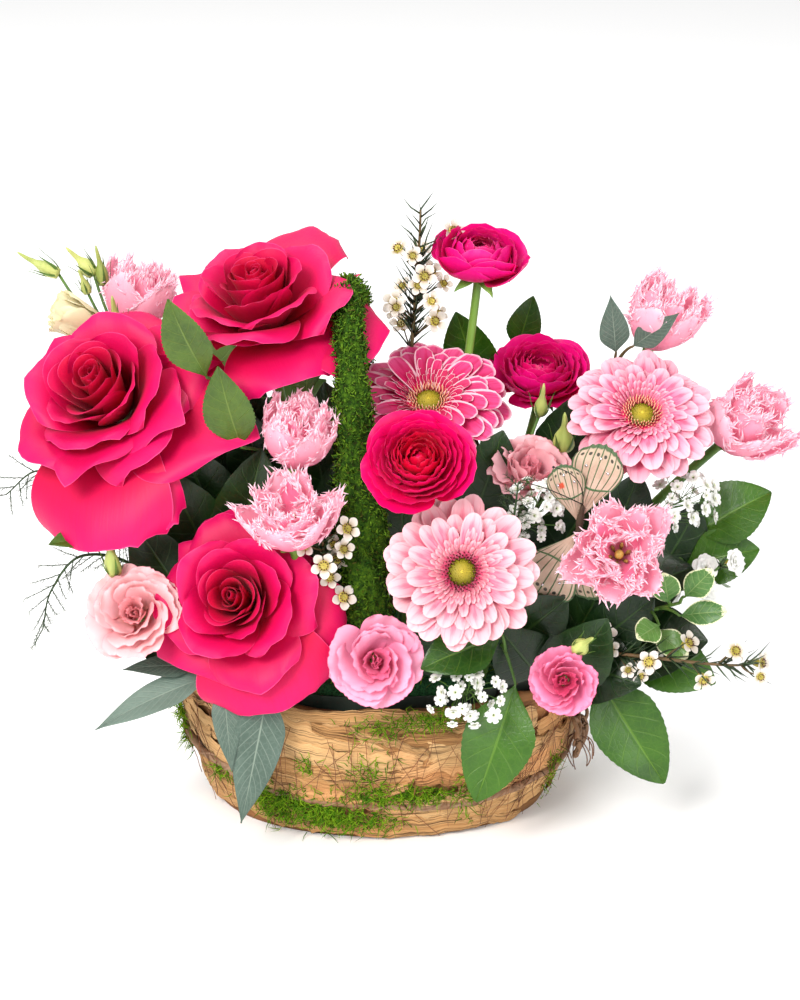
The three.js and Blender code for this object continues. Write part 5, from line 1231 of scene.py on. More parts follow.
# tip, the way the stem leaves it, its foot and how it rises; each leaf is its share of the way down
# the stem, base, tip, width and the way its upper side looks
plants = {
    "salal_front": {
        "tip": (61, -64, 108), "leaving": (-2, 9, 4), "foot": (47, -37), "lift": 42, "thick": 1.4,
        "leaves": [
            (0.06, (66, -68, 92), (47, -85, 36), 36, (0, -1, 0.15), 0.04),
            (0.0, (59, -74, 121), (20, -88, 110), 27, (0.1, -0.75, 0.7), 0.03)],
        "tucked": [
            ((59, -42, 98), (91, -52, 130), 36, (0.1, -0.9, 0.3)),
            ((44, -48, 85), (16, -50, 126), 32, (-0.1, -0.9, 0.3)),
            ((-27, -48, 80), (-14, -58, 126), 28, (0, -0.95, 0.2)),
            ((79, -44, 84), (58, -60, 118), 34, (0, -0.9, 0.3)),
            ((88, -50, 84), (110, -64, 124), 34, (0, -0.9, 0.3)),
            ((100, -40, 96), (134, -46, 128), 30, (0.1, -0.9, 0.3)),
            ((90, -36, 90), (113, -42, 141), 30, (0, -0.9, 0.3)),
            ((45, -12, 150), (60, -18, 204), 36, (0, -0.95, 0.2)),
            ((30, 10, 146), (45, 6, 196), 34, (0, -0.95, 0.2))]},
    "salal_right": {
        "tip": (150, -8, 140), "leaving": (-18, 4, -10), "foot": (80, 20), "lift": 40, "thick": 1.6,
        "leaves": [
            (0.0, (156, -10, 146), (194, -6, 168), 34, (0, -0.7, 0.7), 0.05),
            (0.06, (152, -14, 132), (188, -18, 142), 28, (0.2, -0.8, 0.5), 0.05),
            (0.3, (122, -32, 98), (166, -46, 82), 32, (0.1, -0.9, 0.35), 0.05),
            (0.45, (106, -46, 88), (141, -62, 34), 36, (0, -0.95, 0.2), 0.06),
            (0.2, (142, 6, 118), (180, 34, 100), 38, (0.5, 0.2, 0.8), 0.06)],
        "tucked": [
            ((78, -8, 110), (65, -14, 167), 36, (-0.1, -0.9, 0.3)),
            ((84, 8, 170), (99, 4, 215), 30, (0, -0.95, 0.2)),
            ((80, -2, 118), (108, -8, 172), 38, (0.2, -0.9, 0.3)),
            ((111, 6, 126), (129, 0, 175), 36, (0.2, -0.9, 0.3)),
            ((110, -18, 109), (154, -26, 136), 42, (0.1, -0.6, 0.75)),
            ((115, -28, 92), (160, -50, 107), 42, (0.2, -0.7, 0.6)),
            ((131, -6, 109), (158, -12, 163), 38, (0.3, -0.8, 0.4)),
            ((89, -40, 92), (127, -64, 90), 40, (0.1, -0.8, 0.5))]},
    "salal_back_left": {
        "tip": (-82, 66, 176), "leaving": (6, -6, -24), "foot": (-44, 40), "lift": 40, "thick": 1.6,
        "leaves": [
            (0.0, (-84, 70, 182), (-98, 88, 234), 36, (-0.1, 0.9, 0.3), -0.05),
            (0.14, (-92, 62, 152), (-146, 70, 160), 38, (-0.3, 0.5, 0.8), 0.05),
            (0.3, (-66, 68, 134), (-70, 112, 116), 40, (0, 0.5, 0.85), 0.06),
            (0.2, (-58, 72, 160), (-30, 98, 190), 36, (0.2, 0.8, 0.5), 0.03)],
        "tucked": [
            ((-82, -20, 134), (-104, -28, 187), 36, (0, -0.9, 0.3)),
            ((-70, -25, 146), (-57, -34, 200), 34, (0.1, -0.9, 0.2)),
            ((-92, -30, 114), (-121, -34, 164), 32, (-0.2, -0.8, 0.5)),
            ((-31, -22, 111), (-41, -28, 170), 38, (0, -0.95, 0.2)),
            ((-23, -8, 132), (-21, -14, 187), 34, (0.2, -0.9, 0.2)),
            ((-40, 2, 160), (-63, -4, 205), 34, (-0.1, -0.9, 0.3)),
            ((-78, -14, 148), (-97, -22, 200), 38, (-0.1, -0.9, 0.3)),
            ((-18, 2, 168), (-27, -4, 224), 32, (0, -0.95, 0.2)),
            ((-65, 8, 174), (-89, 2, 216), 30, (-0.3, -0.8, 0.4)),
            ((-101, -20, 84), (-119, -40, 103), 30, (-0.3, -0.7, 0.6)),
            ((-58, -10, 168), (-66, -14, 214), 28, (0, -0.95, 0.2)),
            ((10, -28, 128), (12, -30, 184), 28, (0, -0.95, 0.2)),
            ((-72, 4, 180), (-62, 0, 232), 28, (0, -0.95, 0.2)),
            ((-26, 0, 148), (-32, -6, 198), 26, (0, -0.95, 0.2)),
            ((-78, -2, 150), (-84, -6, 196), 26, (0, -0.95, 0.2))]},
    "salal_back_right": {
        "tip": (56, 62, 196), "leaving": (-2, -6, -24), "foot": (34, 40), "lift": 40, "thick": 1.6,
        "leaves": [
            (0.0, (52, 62, 202), (38, 44, 244), 28, (-0.2, -0.8, 0.4), 0.04),
            (0.06, (70, 74, 214), (78, 72, 244), 18, (0, -0.9, 0.3), 0.04),
            (0.2, (76, 66, 164), (118, 78, 178), 38, (0.2, 0.5, 0.8), 0.05),
            (0.3, (52, 72, 142), (50, 116, 126), 40, (0, 0.5, 0.85), 0.06),
            (0.44, (74, 62, 116), (118, 84, 92), 38, (0.4, 0.4, 0.8), 0.06)]},
    "eucalyptus_left": {
        "tip": (-74, -60, 99), "leaving": (3, 8, 2), "foot": (-58, -34), "lift": 40, "thick": 1.3,
        "leaves": [
            (0.06, (-82, -62, 94), (-140, -64, 65), 18, (-0.1, -0.6, 0.8), 0.05),
            (0.0, (-76, -68, 93), (-72, -83, 52), 14, (0, -1, 0.1), 0.02),
            (0.04, (-54, -68, 91), (-68, -84, 24), 25, (0.1, -1, 0.1), 0.03),
            (0.02, (-88, -57, 96), (-126, -56, 94), 14, (0, -0.5, 0.85), 0.05)]},
    "eucalyptus_right": {
        "tip": (119, 22, 228), "leaving": (-8, 2, -26), "foot": (50, 35), "lift": 50, "thick": 1.2,
        "leaves": [
            (0.04, (117, 19, 232), (113, 12, 264), 15, (0, -0.95, 0.3), 0.03),
            (0.0, (125, 17, 236), (146, 3, 258), 13, (0, -0.95, 0.3), 0.03),
            (0.2, (112, 44, 186), (136, 72, 196), 17, (0.3, 0.5, 0.8), 0.04),
            (0.3, (92, 50, 160), (96, 88, 160), 17, (0, 0.5, 0.8), 0.04)]},
    "pittosporum_right": {
        "tip": (146, -52, 128), "leaving": (-10, 6, -6), "foot": (68, -14), "lift": 36, "thick": 1.2,
        "leaves": [
            (0.0, (148, -54, 132), (160, -62, 150), 14, (0, -0.9, 0.4), 0.04),
            (0.05, (140, -56, 130), (136, -66, 150), 14, (0, -0.9, 0.4), 0.04),
            (0.1, (146, -54, 122), (168, -62, 128), 13, (0, -0.8, 0.6), 0.04),
            (0.15, (136, -56, 118), (124, -72, 118), 14, (0, -0.8, 0.6), 0.04),
            (0.25, (134, -48, 112), (150, -60, 102), 14, (0, -0.8, 0.6), 0.04)]},
}


def growPlants():
    for order, (name, plant) in enumerate(plants.items()):
        kind = name.split("_")[0]
        blade, stem, common = plantKinds[kind]
        chance = np.random.default_rng(200 + order)
        path = stemPath(plant["tip"], plant["leaving"], plant["foot"], plant["lift"], 26)
        radius = 0.8 + (plant["thick"] - 0.8) * np.minimum(1, 2 * np.linspace(0, 1, 26))
        shapes = [coated(tubes([path], [radius], 9), 1)]
        for along, base, tip, width, face, sag in plant["leaves"]:
            form = {**common, "base": base, "tip": tip, "width": width, "face": face, "sag": sag,
                    "phase": chance.uniform(0, 6), "tone": chance.random()}
            shapes.append(coated(leaves(form, 13, 51), 0))
            shapes.append(coated(stalkTo(path, along, base, tip), 1))
        # leaves low between the stems, each on its own stalk out of the foam; their darker finish and low
        # tones are painted shade
        for base, tip, width, face in plant.get("tucked", ()):
            form = {**common, "base": base, "tip": tip, "width": width, "face": face, "sag": 0.04,
                    "phase": chance.uniform(0, 6), "tone": chance.uniform(0, 0.35)}
            shapes.append(coated(leaves(form, 9, 29), 2))
            spot = np.array([np.clip(0.6 * base[0], -80, 80), np.clip(0.6 * base[1], -44, 44), 84])
            stalk = tubes([between(spot, base, 9, (2, -2, 0))], [np.linspace(1.2, 0.8, 9)], 6)
            shapes.append(coated(stalk, 1))
        putPiece(name + "_seen", shapes, [blade, stem, paintedShadeLeaf], kind + "_leaf", [name])
    print("The foliage is grown")


growPlants()


# Ferns: an arched rib, side twigs that shorten towards the tip, and hair-thin needles on both

fernValues = {
    "asparagus_fern_left": {
        "ribs": [
            [(-187, 2, 163), (-170, 4, 175), (-148, 8, 160), (-112, 16, 118), (-73, 26, 58)],
            [(-167, -34, 106), (-162, -32, 126), (-146, -26, 142), (-118, -6, 124), (-73, 26, 60)]],
        "end": 0.52, "twigs": 15, "reach": 15, "side": (0.1, -0.3, 1), "seed": 301},
    "asparagus_fern_centre": {
        "ribs": [[(66, -64, 196), (64, -62, 176), (58, -50, 130), (42, -22, 58)]], "end": 0.4, "twigs": 12,
        "reach": 8, "side": (1, 0, 0.1), "seed": 302},
}


def growFerns():
    for name, fern in fernValues.items():
        chance = np.random.default_rng(fern["seed"])
        shapes = []
        for rib in fern["ribs"]:
            path = alongSpline(rib, 60)
            shapes.append(coated(tubes([path], [np.linspace(0.35, 1.1, 60)], 6), 0))
            number = fern["twigs"] * 2
            share = np.linspace(0.0, 1.0, number)
            roots = np.array([atShare(path, fern["end"] * one) for one in share])
            forward = np.array([wayUp(path, fern["end"] * one) for one in share])
            side = floats(fern["side"])
            across = unit(side - (forward @ side)[:, None] * forward)
            hand = np.where(np.arange(number) % 2 == 0, 1, -1)[:, None]
            reach = fern["reach"] * (0.35 + 0.65 * np.sin(np.pi * np.minimum(1, 0.2 + 0.85 * share)))[:, None]
            ends = roots + hand * across * reach + forward * reach * 0.7 + chance.normal(0, 0.8, (number, 3))
            part = np.linspace(0, 1, 7)[None, :, None]
            twigs = (roots[:, None] * (1 - part) + ends[:, None] * part
                     + forward[:, None] * (1.6 * part * (1 - part)))
            shapes.append(coated(tubes(twigs, np.broadcast_to(np.linspace(0.3, 0.14, 7), (number, 7)), 5), 0))
            hairs = 26
            spot = np.tile(np.linspace(0.08, 1, hairs), number)[:, None]
            owner = np.repeat(np.arange(number), hairs)
            start = (roots[owner] * (1 - spot) + ends[owner] * spot
                     + forward[owner] * (1.6 * spot * (1 - spot)))
            ahead = unit(ends - roots)[owner]
            swing = chance.normal(0, 1, (len(start), 3))
            away = unit(swing - (swing * ahead).sum(1, keepdims=True) * ahead)
            tips = start + (away + 0.9 * ahead) * chance.uniform(1.6, 3.4, (len(start), 1))
            shapes.append(coated(spikes(start, tips, 0.13, 0, chance.random(len(start))), 0))
        putPiece(name + "_seen", shapes, [fernNeedle], "fern_needle", [name])


growFerns()


# Fillers

def evenSeries(seed, count):
    # The same shares from 0 to 1 as the part's own sprays take for a seed
    state = (seed * 7919 + 13) % 233280
    series = []
    for _ in range(count):
        state = (state * 9301 + 49297) % 233280
        series.append(state / 233280)
    return series


waxPetal = petalFinish("waxPetal", (216, 198, 170), (240, 233, 222), (248, 243, 236), (228, 210, 202),
    veins=0.05, through=0.35, roughness=0.4)
waxCup = stemFinish("waxCup", (206, 188, 84), (152, 140, 52), roughness=0.3)
waxDots = stemFinish("waxDots", (112, 58, 40), (84, 44, 30))
needleGreen = stemFinish("needleGreen", (62, 84, 50), (34, 52, 34))
stockPetal = petalFinish("stockPetal", (214, 222, 170), (250, 250, 246), (255, 255, 253), (250, 250, 248),
    veins=0.05, through=0.35)

sprays = {
    "waxflower_back": {
        "seed": 3, "tip": (20, 38, 300), "leaving": (0, 0, -40), "foot": (4, 30), "start": 0.1, "end": 0.3,
        "flowers": 7, "reach": 17, "needle": 18, "radius": 6.6, "thick": 1.0, "look": (0, -1.3, 0.3),
        "lift": 60, "crown": 34, "more": 9},
    "waxflower_left": {
        "seed": 7, "tip": (-27, -68, 167), "leaving": (1, 12, -20), "foot": (-21, -46), "start": 0.0,
        "end": 0.36, "flowers": 6, "reach": 13, "needle": 12, "radius": 6.6, "thick": 1.2,
        "look": (0, -0.9, 0.2), "lift": 40, "crown": 10, "more": 9},
    "waxflower_right": {
        "seed": 9, "tip": (176, -76, 106), "leaving": (-30, 2, -4), "foot": (51, -22), "start": 0.0,
        "end": 0.5, "flowers": 7, "reach": 13, "needle": 17, "radius": 6.4, "thick": 1.0,
        "look": (0, -1.1, 0.4), "lift": 52, "crown": 20, "more": 7},
    "white_stock_right": {
        "seed": 15, "tip": (166, -36, 140), "leaving": (-10, 24, -30), "foot": (78, 12), "start": 0.0,
        "end": 0.3, "flowers": 5, "reach": 8, "needle": 8, "radius": 7.5, "thick": 1.3,
        "look": (0.2, -0.8, 0.3), "lift": 40, "crown": 3, "stock": True},
}


def waxBloom(centre, facing, radius, chance):
    # Five round petals on a green cup, with a ring of short filaments round the nectar disc
    place = flowerPlace(centre, facing, 0, chance.uniform(0, 72))
    ring = np.arange(5) * 72.0
    shapes = [coated(petals({
        "azimuth": ring, "rootRadius": 0.36 * radius, "rootHeight": 0.1, "length": 0.66 * radius,
        "width": 0.62 * radius, "lean": (66 + chance.uniform(-8, 8, 5), 78, 84, 70),
        "outline": (0.5, 1.05, 1.35, 1.2), "cup": (24, 34, 36, 20), "tipRound": 0.42, "thickness": 0.35,
        "tone": chance.random(5),
    }, 6, 8, place), 0)]
    cup = np.array([0.12, 0.25, 0.36, 0.41, 0.37, 0.2]) * radius
    height = np.array([-0.8, -0.62, -0.36, 0.0, 0.1, 0.02]) * radius
    turn = 2 * np.pi * np.arange(10) / 10
    rings = circled(cup[:, None], turn, height[:, None])
    shapes.append(coated(closeRings(toPlace(rings, place)[None], chance.random()), 1))
    angle = np.radians(np.arange(10) * 36.0)
    foot = circled(0.34 * radius, angle, 0.05 * radius)
    head = foot * np.array([0.86, 0.86, 1]) + np.array([0, 0, 0.16 * radius])
    shapes.append(coated(beads(toPlace(head, place), 0.07 * radius, sides=5, rows=3), 2))
    style = spikes(toPlace([[0, 0, 0]], place), toPlace([[0, 0, 0.35 * radius]], place), 0.05 * radius)
    shapes.append(coated(style, 1))
    return shapes


def floret(rings, size, form, grid, place, chance):
    # Rings of small petals, each ring its count, length, width, lean and first direction
    shapes = []
    for count, length, width, lean, start in rings:
        shapes.append(coated(petals({
            **form, "azimuth": start + np.arange(count) * 360 / count, "rootHeight": 0,
            "length": length * size, "width": width * size, "lean": lean,
            "phase": chance.uniform(0, 6, count), "tone": chance.random(count),
        }, *grid, place), 0))
    return shapes


def stockBloom(centre, facing, radius, chance):
    # A double blossom: two rings of ruffled petals round a tight middle
    place = flowerPlace(centre, facing, 0.4 * radius, chance.uniform(0, 90))
    rings = ((5, 1.0, 0.95, (40, 60, 84, 96), 0), (5, 0.8, 0.75, (24, 40, 60, 80), 36),
             (4, 0.6, 0.55, (10, 20, 30, 50), 10))
    form = {"rootRadius": 0.3, "outline": (0.2, 0.8, 1.35, 0.8), "cup": (50, 40, 20, 0), "tipRound": 0.2,
            "ruffle": 0.5, "ruffleWaves": 4, "thickness": 0.35}
    shapes = floret(rings, radius, form, (7, 7), place, chance)
    cup = tubes([toPlace([[0, 0, -0.7 * radius], [0, 0, -0.3 * radius], [0, 0, 0.1 * radius]], place)],
                [0.5, 0.22 * radius, 0.2 * radius], 8)
    return shapes + [coated(cup, 1)]


def growSprays():
    for name, spray in sprays.items():
        chance = np.random.default_rng(spray["seed"])
        path = stemPath(spray["tip"], spray["leaving"], spray["foot"], spray["lift"], 40)
        series = evenSeries(spray["seed"], spray["flowers"])
        radius = 0.55 + (spray["thick"] - 0.55) * np.minimum(1, 3 * np.linspace(0, 1, 40))
        shapes = [coated(tubes([path], [radius], 7), 3)]
        kinds = {False: (waxBloom, waxPetal, redStem), True: (stockBloom, stockPetal, greenStem)}
        bloom, petal, twig = kinds[spray.get("stock", False)]
        roots, tips = [], []
        for k in range(spray["flowers"] + spray.get("more", 0)):
            extra = k >= spray["flowers"]
            share = chance.random() if extra else k / (spray["flowers"] - 1)
            along = spray["start"] + (spray["end"] - spray["start"]) * share
            root = atShare(path, along)
            towardsTip = wayUp(path, along)
            side = flowerPlace(root, towardsTip, 0, 137.5 * k)
            reach = spray["reach"] * (chance.uniform(0.45, 1.1) if extra else 0.75 + 0.5 * series[k])
            end = toPlace([reach * 0.8, 0, reach * 0.66], side)
            facing = unit(unit(end - root) + floats(spray["look"]))
            size = spray["radius"] * (chance.uniform(0.7, 0.95) if extra else 1)
            shapes.extend(bloom(end, facing, size, chance))
            neck = end - facing * 0.7 * size
            bow = 1.2 * chance.uniform(-1, 1, 3)
            shapes.append(coated(tubes([between(root, neck, 7, bow)], [np.linspace(0.5, 0.38, 7)], 5), 3))
            # small buds and needles spring from where the flower's twig leaves
            for turn in (60, 150, 240, 320):
                lean = flowerPlace(root + 0.1 * (end - root), towardsTip, 0, 137.5 * k + turn)
                roots.append(lean[0])
                needle = spray["needle"] * np.array([0.7, 0, 0.72]) * chance.uniform(0.7, 1.15)
                tips.append(toPlace(needle, lean))
        crown = spray["crown"]
        order = np.arange(crown)
        for k in order:
            along = spray["end"] * 0.9 * k / crown
            towardsTip = wayUp(path, along)
            lean = flowerPlace(atShare(path, along), towardsTip, 0, 137.5 * k + 40)
            roots.append(lean[0])
            tips.append(toPlace(spray["needle"] * np.array([0.74, 0, 0.68]) * chance.uniform(0.6, 1.0), lean))
        roots, tips = np.array(roots), np.array(tips)
        bend = chance.normal(0, 0.6, (len(roots), 3))
        shapes.append(coated(spikes(roots, tips, 0.56, bend, chance.random(len(roots))), 4))
        putPiece(name + "_seen", shapes, [petal, waxCup, waxDots, twig, needleGreen], "white_filler", [name])


growSprays()

gypsophilaValues = {
    "fork": (37, -22, 98), "foot": (32, -10), "florets": 27, "seed": 88,
    "heads": [((76, -42, 174), (15, 9, 17)), ((152, -24, 172), (17, 9, 19)), ((42, -86, 92), (20, 5, 18))],
    "rings": [(6, 1.0, 0.8, (60, 72, 84, 94), 0), (6, 0.72, 0.576, (30, 40, 52, 60), 30)],
    "petal": {"rootRadius": 0.25, "outline": (0.2, 0.8, 1.4, 0.8), "cup": (40, 30, 20, 0), "tipRound": 0.1,
              "thickness": 0.25},
}


def growGypsophila():
    # Hair-thin branches that end in tiny double florets, spread through three loose heads
    chance = np.random.default_rng(gypsophilaValues["seed"])
    fork = floats(gypsophilaValues["fork"])
    foot = np.array([*gypsophilaValues["foot"], stemFoot], float)
    shapes = [coated(tubes([between(fork, foot, 8)], [np.full(8, 1.1)], 7), 1)]
    for middle, spread in gypsophilaValues["heads"]:
        middle = floats(middle)
        share = np.linspace(0, 1, 24)[:, None]
        bend = (fork + middle) / 2 + np.array([0, 0, 10])
        branch = fork * (1 - share) ** 2 + 2 * bend * share * (1 - share) + middle * share**2
        shapes.append(coated(tubes([branch], [np.linspace(0.75, 0.35, 24)], 6), 1))
        count = gypsophilaValues["florets"]
        order = np.arange(count)
        level = 1 - 2 * (order + 0.5) / count
        turn = np.radians(137.508 * order)
        flat = np.sqrt(1 - level**2)
        reach = chance.uniform(0.55, 1.08, (count, 1))
        ends = middle + reach * circled(flat, turn, level) * np.asarray(spread)
        roots = branch[(23 - 5 * order / count).astype(int)]
        part = np.linspace(0, 1, 6)[None, :, None]
        bow = chance.normal(0, 1.4, (count, 1, 3))
        twigs = roots[:, None] * (1 - part) + ends[:, None] * part + bow * 4 * part * (1 - part) * 0.6
        shapes.append(coated(tubes(twigs, np.full((count, 6), 0.18), 5), 1))
        for k in order:
            facing = unit(unit(ends[k] - roots[k]) + np.array([0, -0.5, 0.35]) + chance.normal(0, 0.25, 3))
            place = flowerPlace(ends[k], facing, 0.6, chance.uniform(0, 90))
            size = chance.uniform(2.2, 4.2)
            rings, petal = gypsophilaValues["rings"], gypsophilaValues["petal"]
            shapes.extend(floret(rings, size, petal, (4, 3), place, chance))
            shapes.append(coated(tubes([toPlace([[0, 0, -1.5], [0, 0, -0.9], [0, 0, 0.1]], place)],
                                       [0.3, 0.75, 0.7], 6), 1))
    putPiece("gypsophila_spray_seen", shapes, [stockPetal, greenStem], "white_filler", ["gypsophila_spray"])


growGypsophila()
print("The fillers are grown")


# Bark, vine and moss

def barkFinish(name, pale, body, dark, **values):
    # Long fibres run along the strip, with dark cracks between some of them and a warm blush in places
    look = {"onMap": True, "fibres": (26, 1.3, 1), "cracks": (9, 0.8, 1), "patches": (3, 1.5, 1),
            "roughness": 0.72, "crackWidth": 0.022, "blush": (222, 150, 96), **values}
    finish = Finish(name, {"Roughness": look["roughness"], "Specular IOR Level": 0.2})
    tone = finish.attribute("tone")
    shift = tone * 23
    fibres = finish.noise(1, 5, 0.68, look["fibres"], onMap=look["onMap"], shift=shift)
    broad = finish.noise(1, 2, 0.5, look["patches"], onMap=look["onMap"], shift=shift)
    crack = finish.noise(1, 3, 0.55, look["cracks"], onMap=look["onMap"], shift=shift)
    split = 1 - finish.step(abs(crack - 0.5), 0.0, look["crackWidth"])
    split = split * finish.step(broad, 0.38, 0.6)
    colour = finish.ramp(fibres * 0.62 + broad * 0.2 + tone * 0.24, (0.3, dark), (0.44, body), (0.68, pale))
    blush = finish.noise(14, 2, 0.5, (1, 1, 1.6))
    colour = finish.blend(finish.step(blush, 0.5, 0.66) * 0.5, colour, look["blush"])
    colour = finish.blend(split * 0.9, colour, (66, 40, 22))
    grain = finish.noise(700, 3, 0.6)
    return finish.close(colour, fibres * 0.8 + grain * 0.12 - split * 0.9, 0.0011)


barkStrip = barkFinish("barkStrip", (214, 174, 122), (184, 136, 84), (104, 66, 36))
# The wall under the strips is painted far darker than the strips: painted shade in the gaps between them
paintedShadeBarkWall = barkFinish("paintedShadeBarkWall", (150, 108, 66), (108, 70, 38), (52, 30, 16), onMap=False,
    fibres=(9, 9, 190), cracks=(5, 5, 70), patches=(8, 8, 26))
vineBark = barkFinish("vineBark", (168, 138, 112), (124, 92, 68), (66, 44, 32), onMap=False,
    fibres=(150, 150, 150), cracks=(60, 60, 60), patches=(30, 30, 30), blush=(140, 100, 70))
threadFinish = stemFinish("threadFinish", (146, 92, 54), (96, 56, 34), roughness=0.6)


def mossFinish(name, bright, body, brown, fine=0.0, depth=0.0003):
    # Bright tips and brown patches over a green body; the fine mottle makes a smooth core look tangled
    finish = Finish(name, {"Roughness": 0.85, "Specular IOR Level": 0.1})
    tone = finish.attribute("tone")
    patches = finish.noise(45, 3, 0.6)
    tangle = finish.noise(330, 4, 0.75)
    mixed = tone * 0.75 + patches * 0.35 + (tangle - 0.5) * fine
    colour = finish.ramp(mixed, (0.08, brown), (0.34, body), (0.85, bright))
    return finish.close(colour, tangle, depth, through=0.2, throughColour=body)


mossStrand = mossFinish("mossStrand", (106, 142, 36), (46, 88, 26), (108, 88, 42))
mossCore = mossFinish("mossCore", (96, 136, 30), (34, 64, 16), (54, 46, 20), 1.9, 0.003)
mossBright = mossFinish("mossBright", (142, 178, 36), (74, 128, 20), (70, 84, 24))

basketValues = {
    "height": 76, "baseHalf": (83, 53), "rimHalf": (100, 67), "belly": 3.2, "wall": 6, "floor": 5,
    "sides": 360, "rows": 30, "strips": 48, "threads": 80, "seed": 91,
    # strips listed at the front: angle and height where each starts and where it ends, its
    # width, its bow and how far out it lies
    "frontStrips": [
        (-176, 64, -122, 30, 15, -6, 3.4), (-182, 58, -126, 44, 12, 4, 2.6), (-132, 68, -88, 58, 17, 2, 2.8),
        (-140, 60, -78, 46, 16, -3, 3.4), (-130, 44, -80, 40, 15, -5, 3.8), (-128, 34, -82, 36, 8, -8, 4.6),
        (-98, 68, -76, 54, 5, 0, 5.0), (-86, 50, -40, 64, 18, 2, 3.0), (-84, 42, -36, 46, 15, 3, 3.6),
        (-80, 38, -44, 30, 10, 2, 4.4), (-152, 20, -96, 9, 15, -4, 3.2), (-120, 14, -52, 8, 15, -2, 3.8),
        (-92, 16, -22, 22, 16, -3, 3.2), (-60, 10, -8, 28, 14, -4, 3.8), (-48, 34, 4, 44, 17, -2, 3.2),
        (-40, 56, 10, 62, 14, 1, 3.4), (-170, 34, -132, 18, 14, -2, 3.0), (-100, 24, -60, 26, 11, -3, 4.2),
    ],
}


def wallPoint(angle, height, out=0.0):
    # A point on the outside of the wall: an ellipse that widens from the base to the rim with a small
    # belly between, moved outwards by `out`. Angles in degrees, 0 at the right end, -90 at the front.
    share = floats(height) / basketValues["height"]
    belly = basketValues["belly"] * np.sin(np.pi * np.clip(share, 0, 1))
    halves = [low + (high - low) * share + belly + out
              for low, high in zip(basketValues["baseHalf"], basketValues["rimHalf"])]
    turn = np.radians(angle)
    x, y, z = np.broadcast_arrays(halves[0] * np.cos(turn), halves[1] * np.sin(turn), height)
    return np.stack([x, y, z], -1)


def waves(place, seed, number, low, high):
    # A smooth random line: a sum of sines of `place` whose waves lie between `low` and `high` long
    chance = np.random.default_rng(seed)
    total = 0 * place
    for length, phase in zip(np.geomspace(high, low, number), chance.uniform(0, 2 * np.pi, number)):
        total = total + np.sin(2 * np.pi * place / length + phase) / number ** 0.5
    return total


def barkStrips(rows, chance):
    # Strips laid round the wall: each runs from one angle and height to another, crowned across,
    # pinched at its ends, with ridges along it and ragged sides
    rows = floats(rows)
    count = len(rows)
    across, along = 9, 30
    s = np.linspace(0, 1, along)[None, None, :]
    t = np.linspace(-1, 1, across)[None, :, None]
    column = lambda k: rows[:, k].reshape(count, 1, 1)
    shift = chance.uniform(0, 90, (count, 1, 1))
    angle = column(0) + (column(2) - column(0)) * s
    ragged = 1 + 0.16 * waves(s * 40 + shift + 7 * np.sign(t), 3, 5, 3, 16)
    half = column(4) / 2 * (0.35 + 0.65 * np.sin(np.pi * (0.04 + 0.92 * s)) ** 0.55) * ragged
    height = column(1) + (column(3) - column(1)) * s + column(5) * np.sin(np.pi * s) + half * t
    height = height + 0.9 * waves(s * 50 + shift, 4, 4, 9, 40)
    crown = 1.1 * np.sqrt(1 - 0.92 * t**2)
    ridge = 0.34 * waves(t * 9 + shift + 1.4 * s, 5, 5, 2.2, 7)
    ridge = ridge + 0.28 * waves(s * 60 + shift + 5 * t, 6, 4, 5, 19)
    lift = 1.2 * chance.random((count, 1, 1)) * smooth(s, 0.75, 1) + 0.8 * smooth(1 - s, 0.82, 1)
    out = column(6) - 0.7 + crown + ridge + lift + 0.8 * t * np.sin(shift)
    height = np.clip(height, 0.8, 79)
    middle = wallPoint(angle, height, out)
    # the blade's upper side looks outwards when `across` runs down the wall
    return closeSheets(middle[:, ::-1], 0.8, chance.random(count), 0.0)


def strayStrips(chance):
    rows = []
    for k in range(basketValues["strips"]):
        start = k * 360 / basketValues["strips"] * 3 % 360 + chance.uniform(-8, 8)
        level = (11, 30, 49, 66)[k % 4] + chance.uniform(-5, 5)
        rise = chance.uniform(-10, 10)
        rows.append((start, level - rise / 2, start + chance.uniform(46, 82), level + rise / 2,
                     chance.uniform(9, 16), chance.uniform(-4, 4), 1.4 + 0.9 * (k % 3)))
    return rows


def threadPaths(chance):
    # Fine threads wound up and down the wall, a little slack, more of them at the front
    count = basketValues["threads"]
    front = chance.random(count) < 0.55
    start = np.where(front, chance.uniform(-150, -20, count), chance.uniform(-180, 180, count))
    slant = chance.normal(0, 17, count)
    low, high = chance.uniform(2, 22, count), chance.uniform(50, 75, count)
    s = np.linspace(0, 1, 16)[None, :]
    angle = start[:, None] + slant[:, None] * s + 0.25 * waves(s * 30 + start[:, None], 8, 3, 12, 40)
    height = low[:, None] + (high - low)[:, None] * s
    out = 6.2 + 0.6 * waves(s * 40 + slant[:, None] * 3, 9, 3, 12, 40)
    return wallPoint(angle, height, out)


def lying(outward, share, chance):
    # A random direction for each row of `outward`, with a share of what points outwards taken off
    loose = unit(chance.normal(0, 1, outward.shape))
    return unit(loose - share * (loose * outward).sum(1, keepdims=True) * outward)


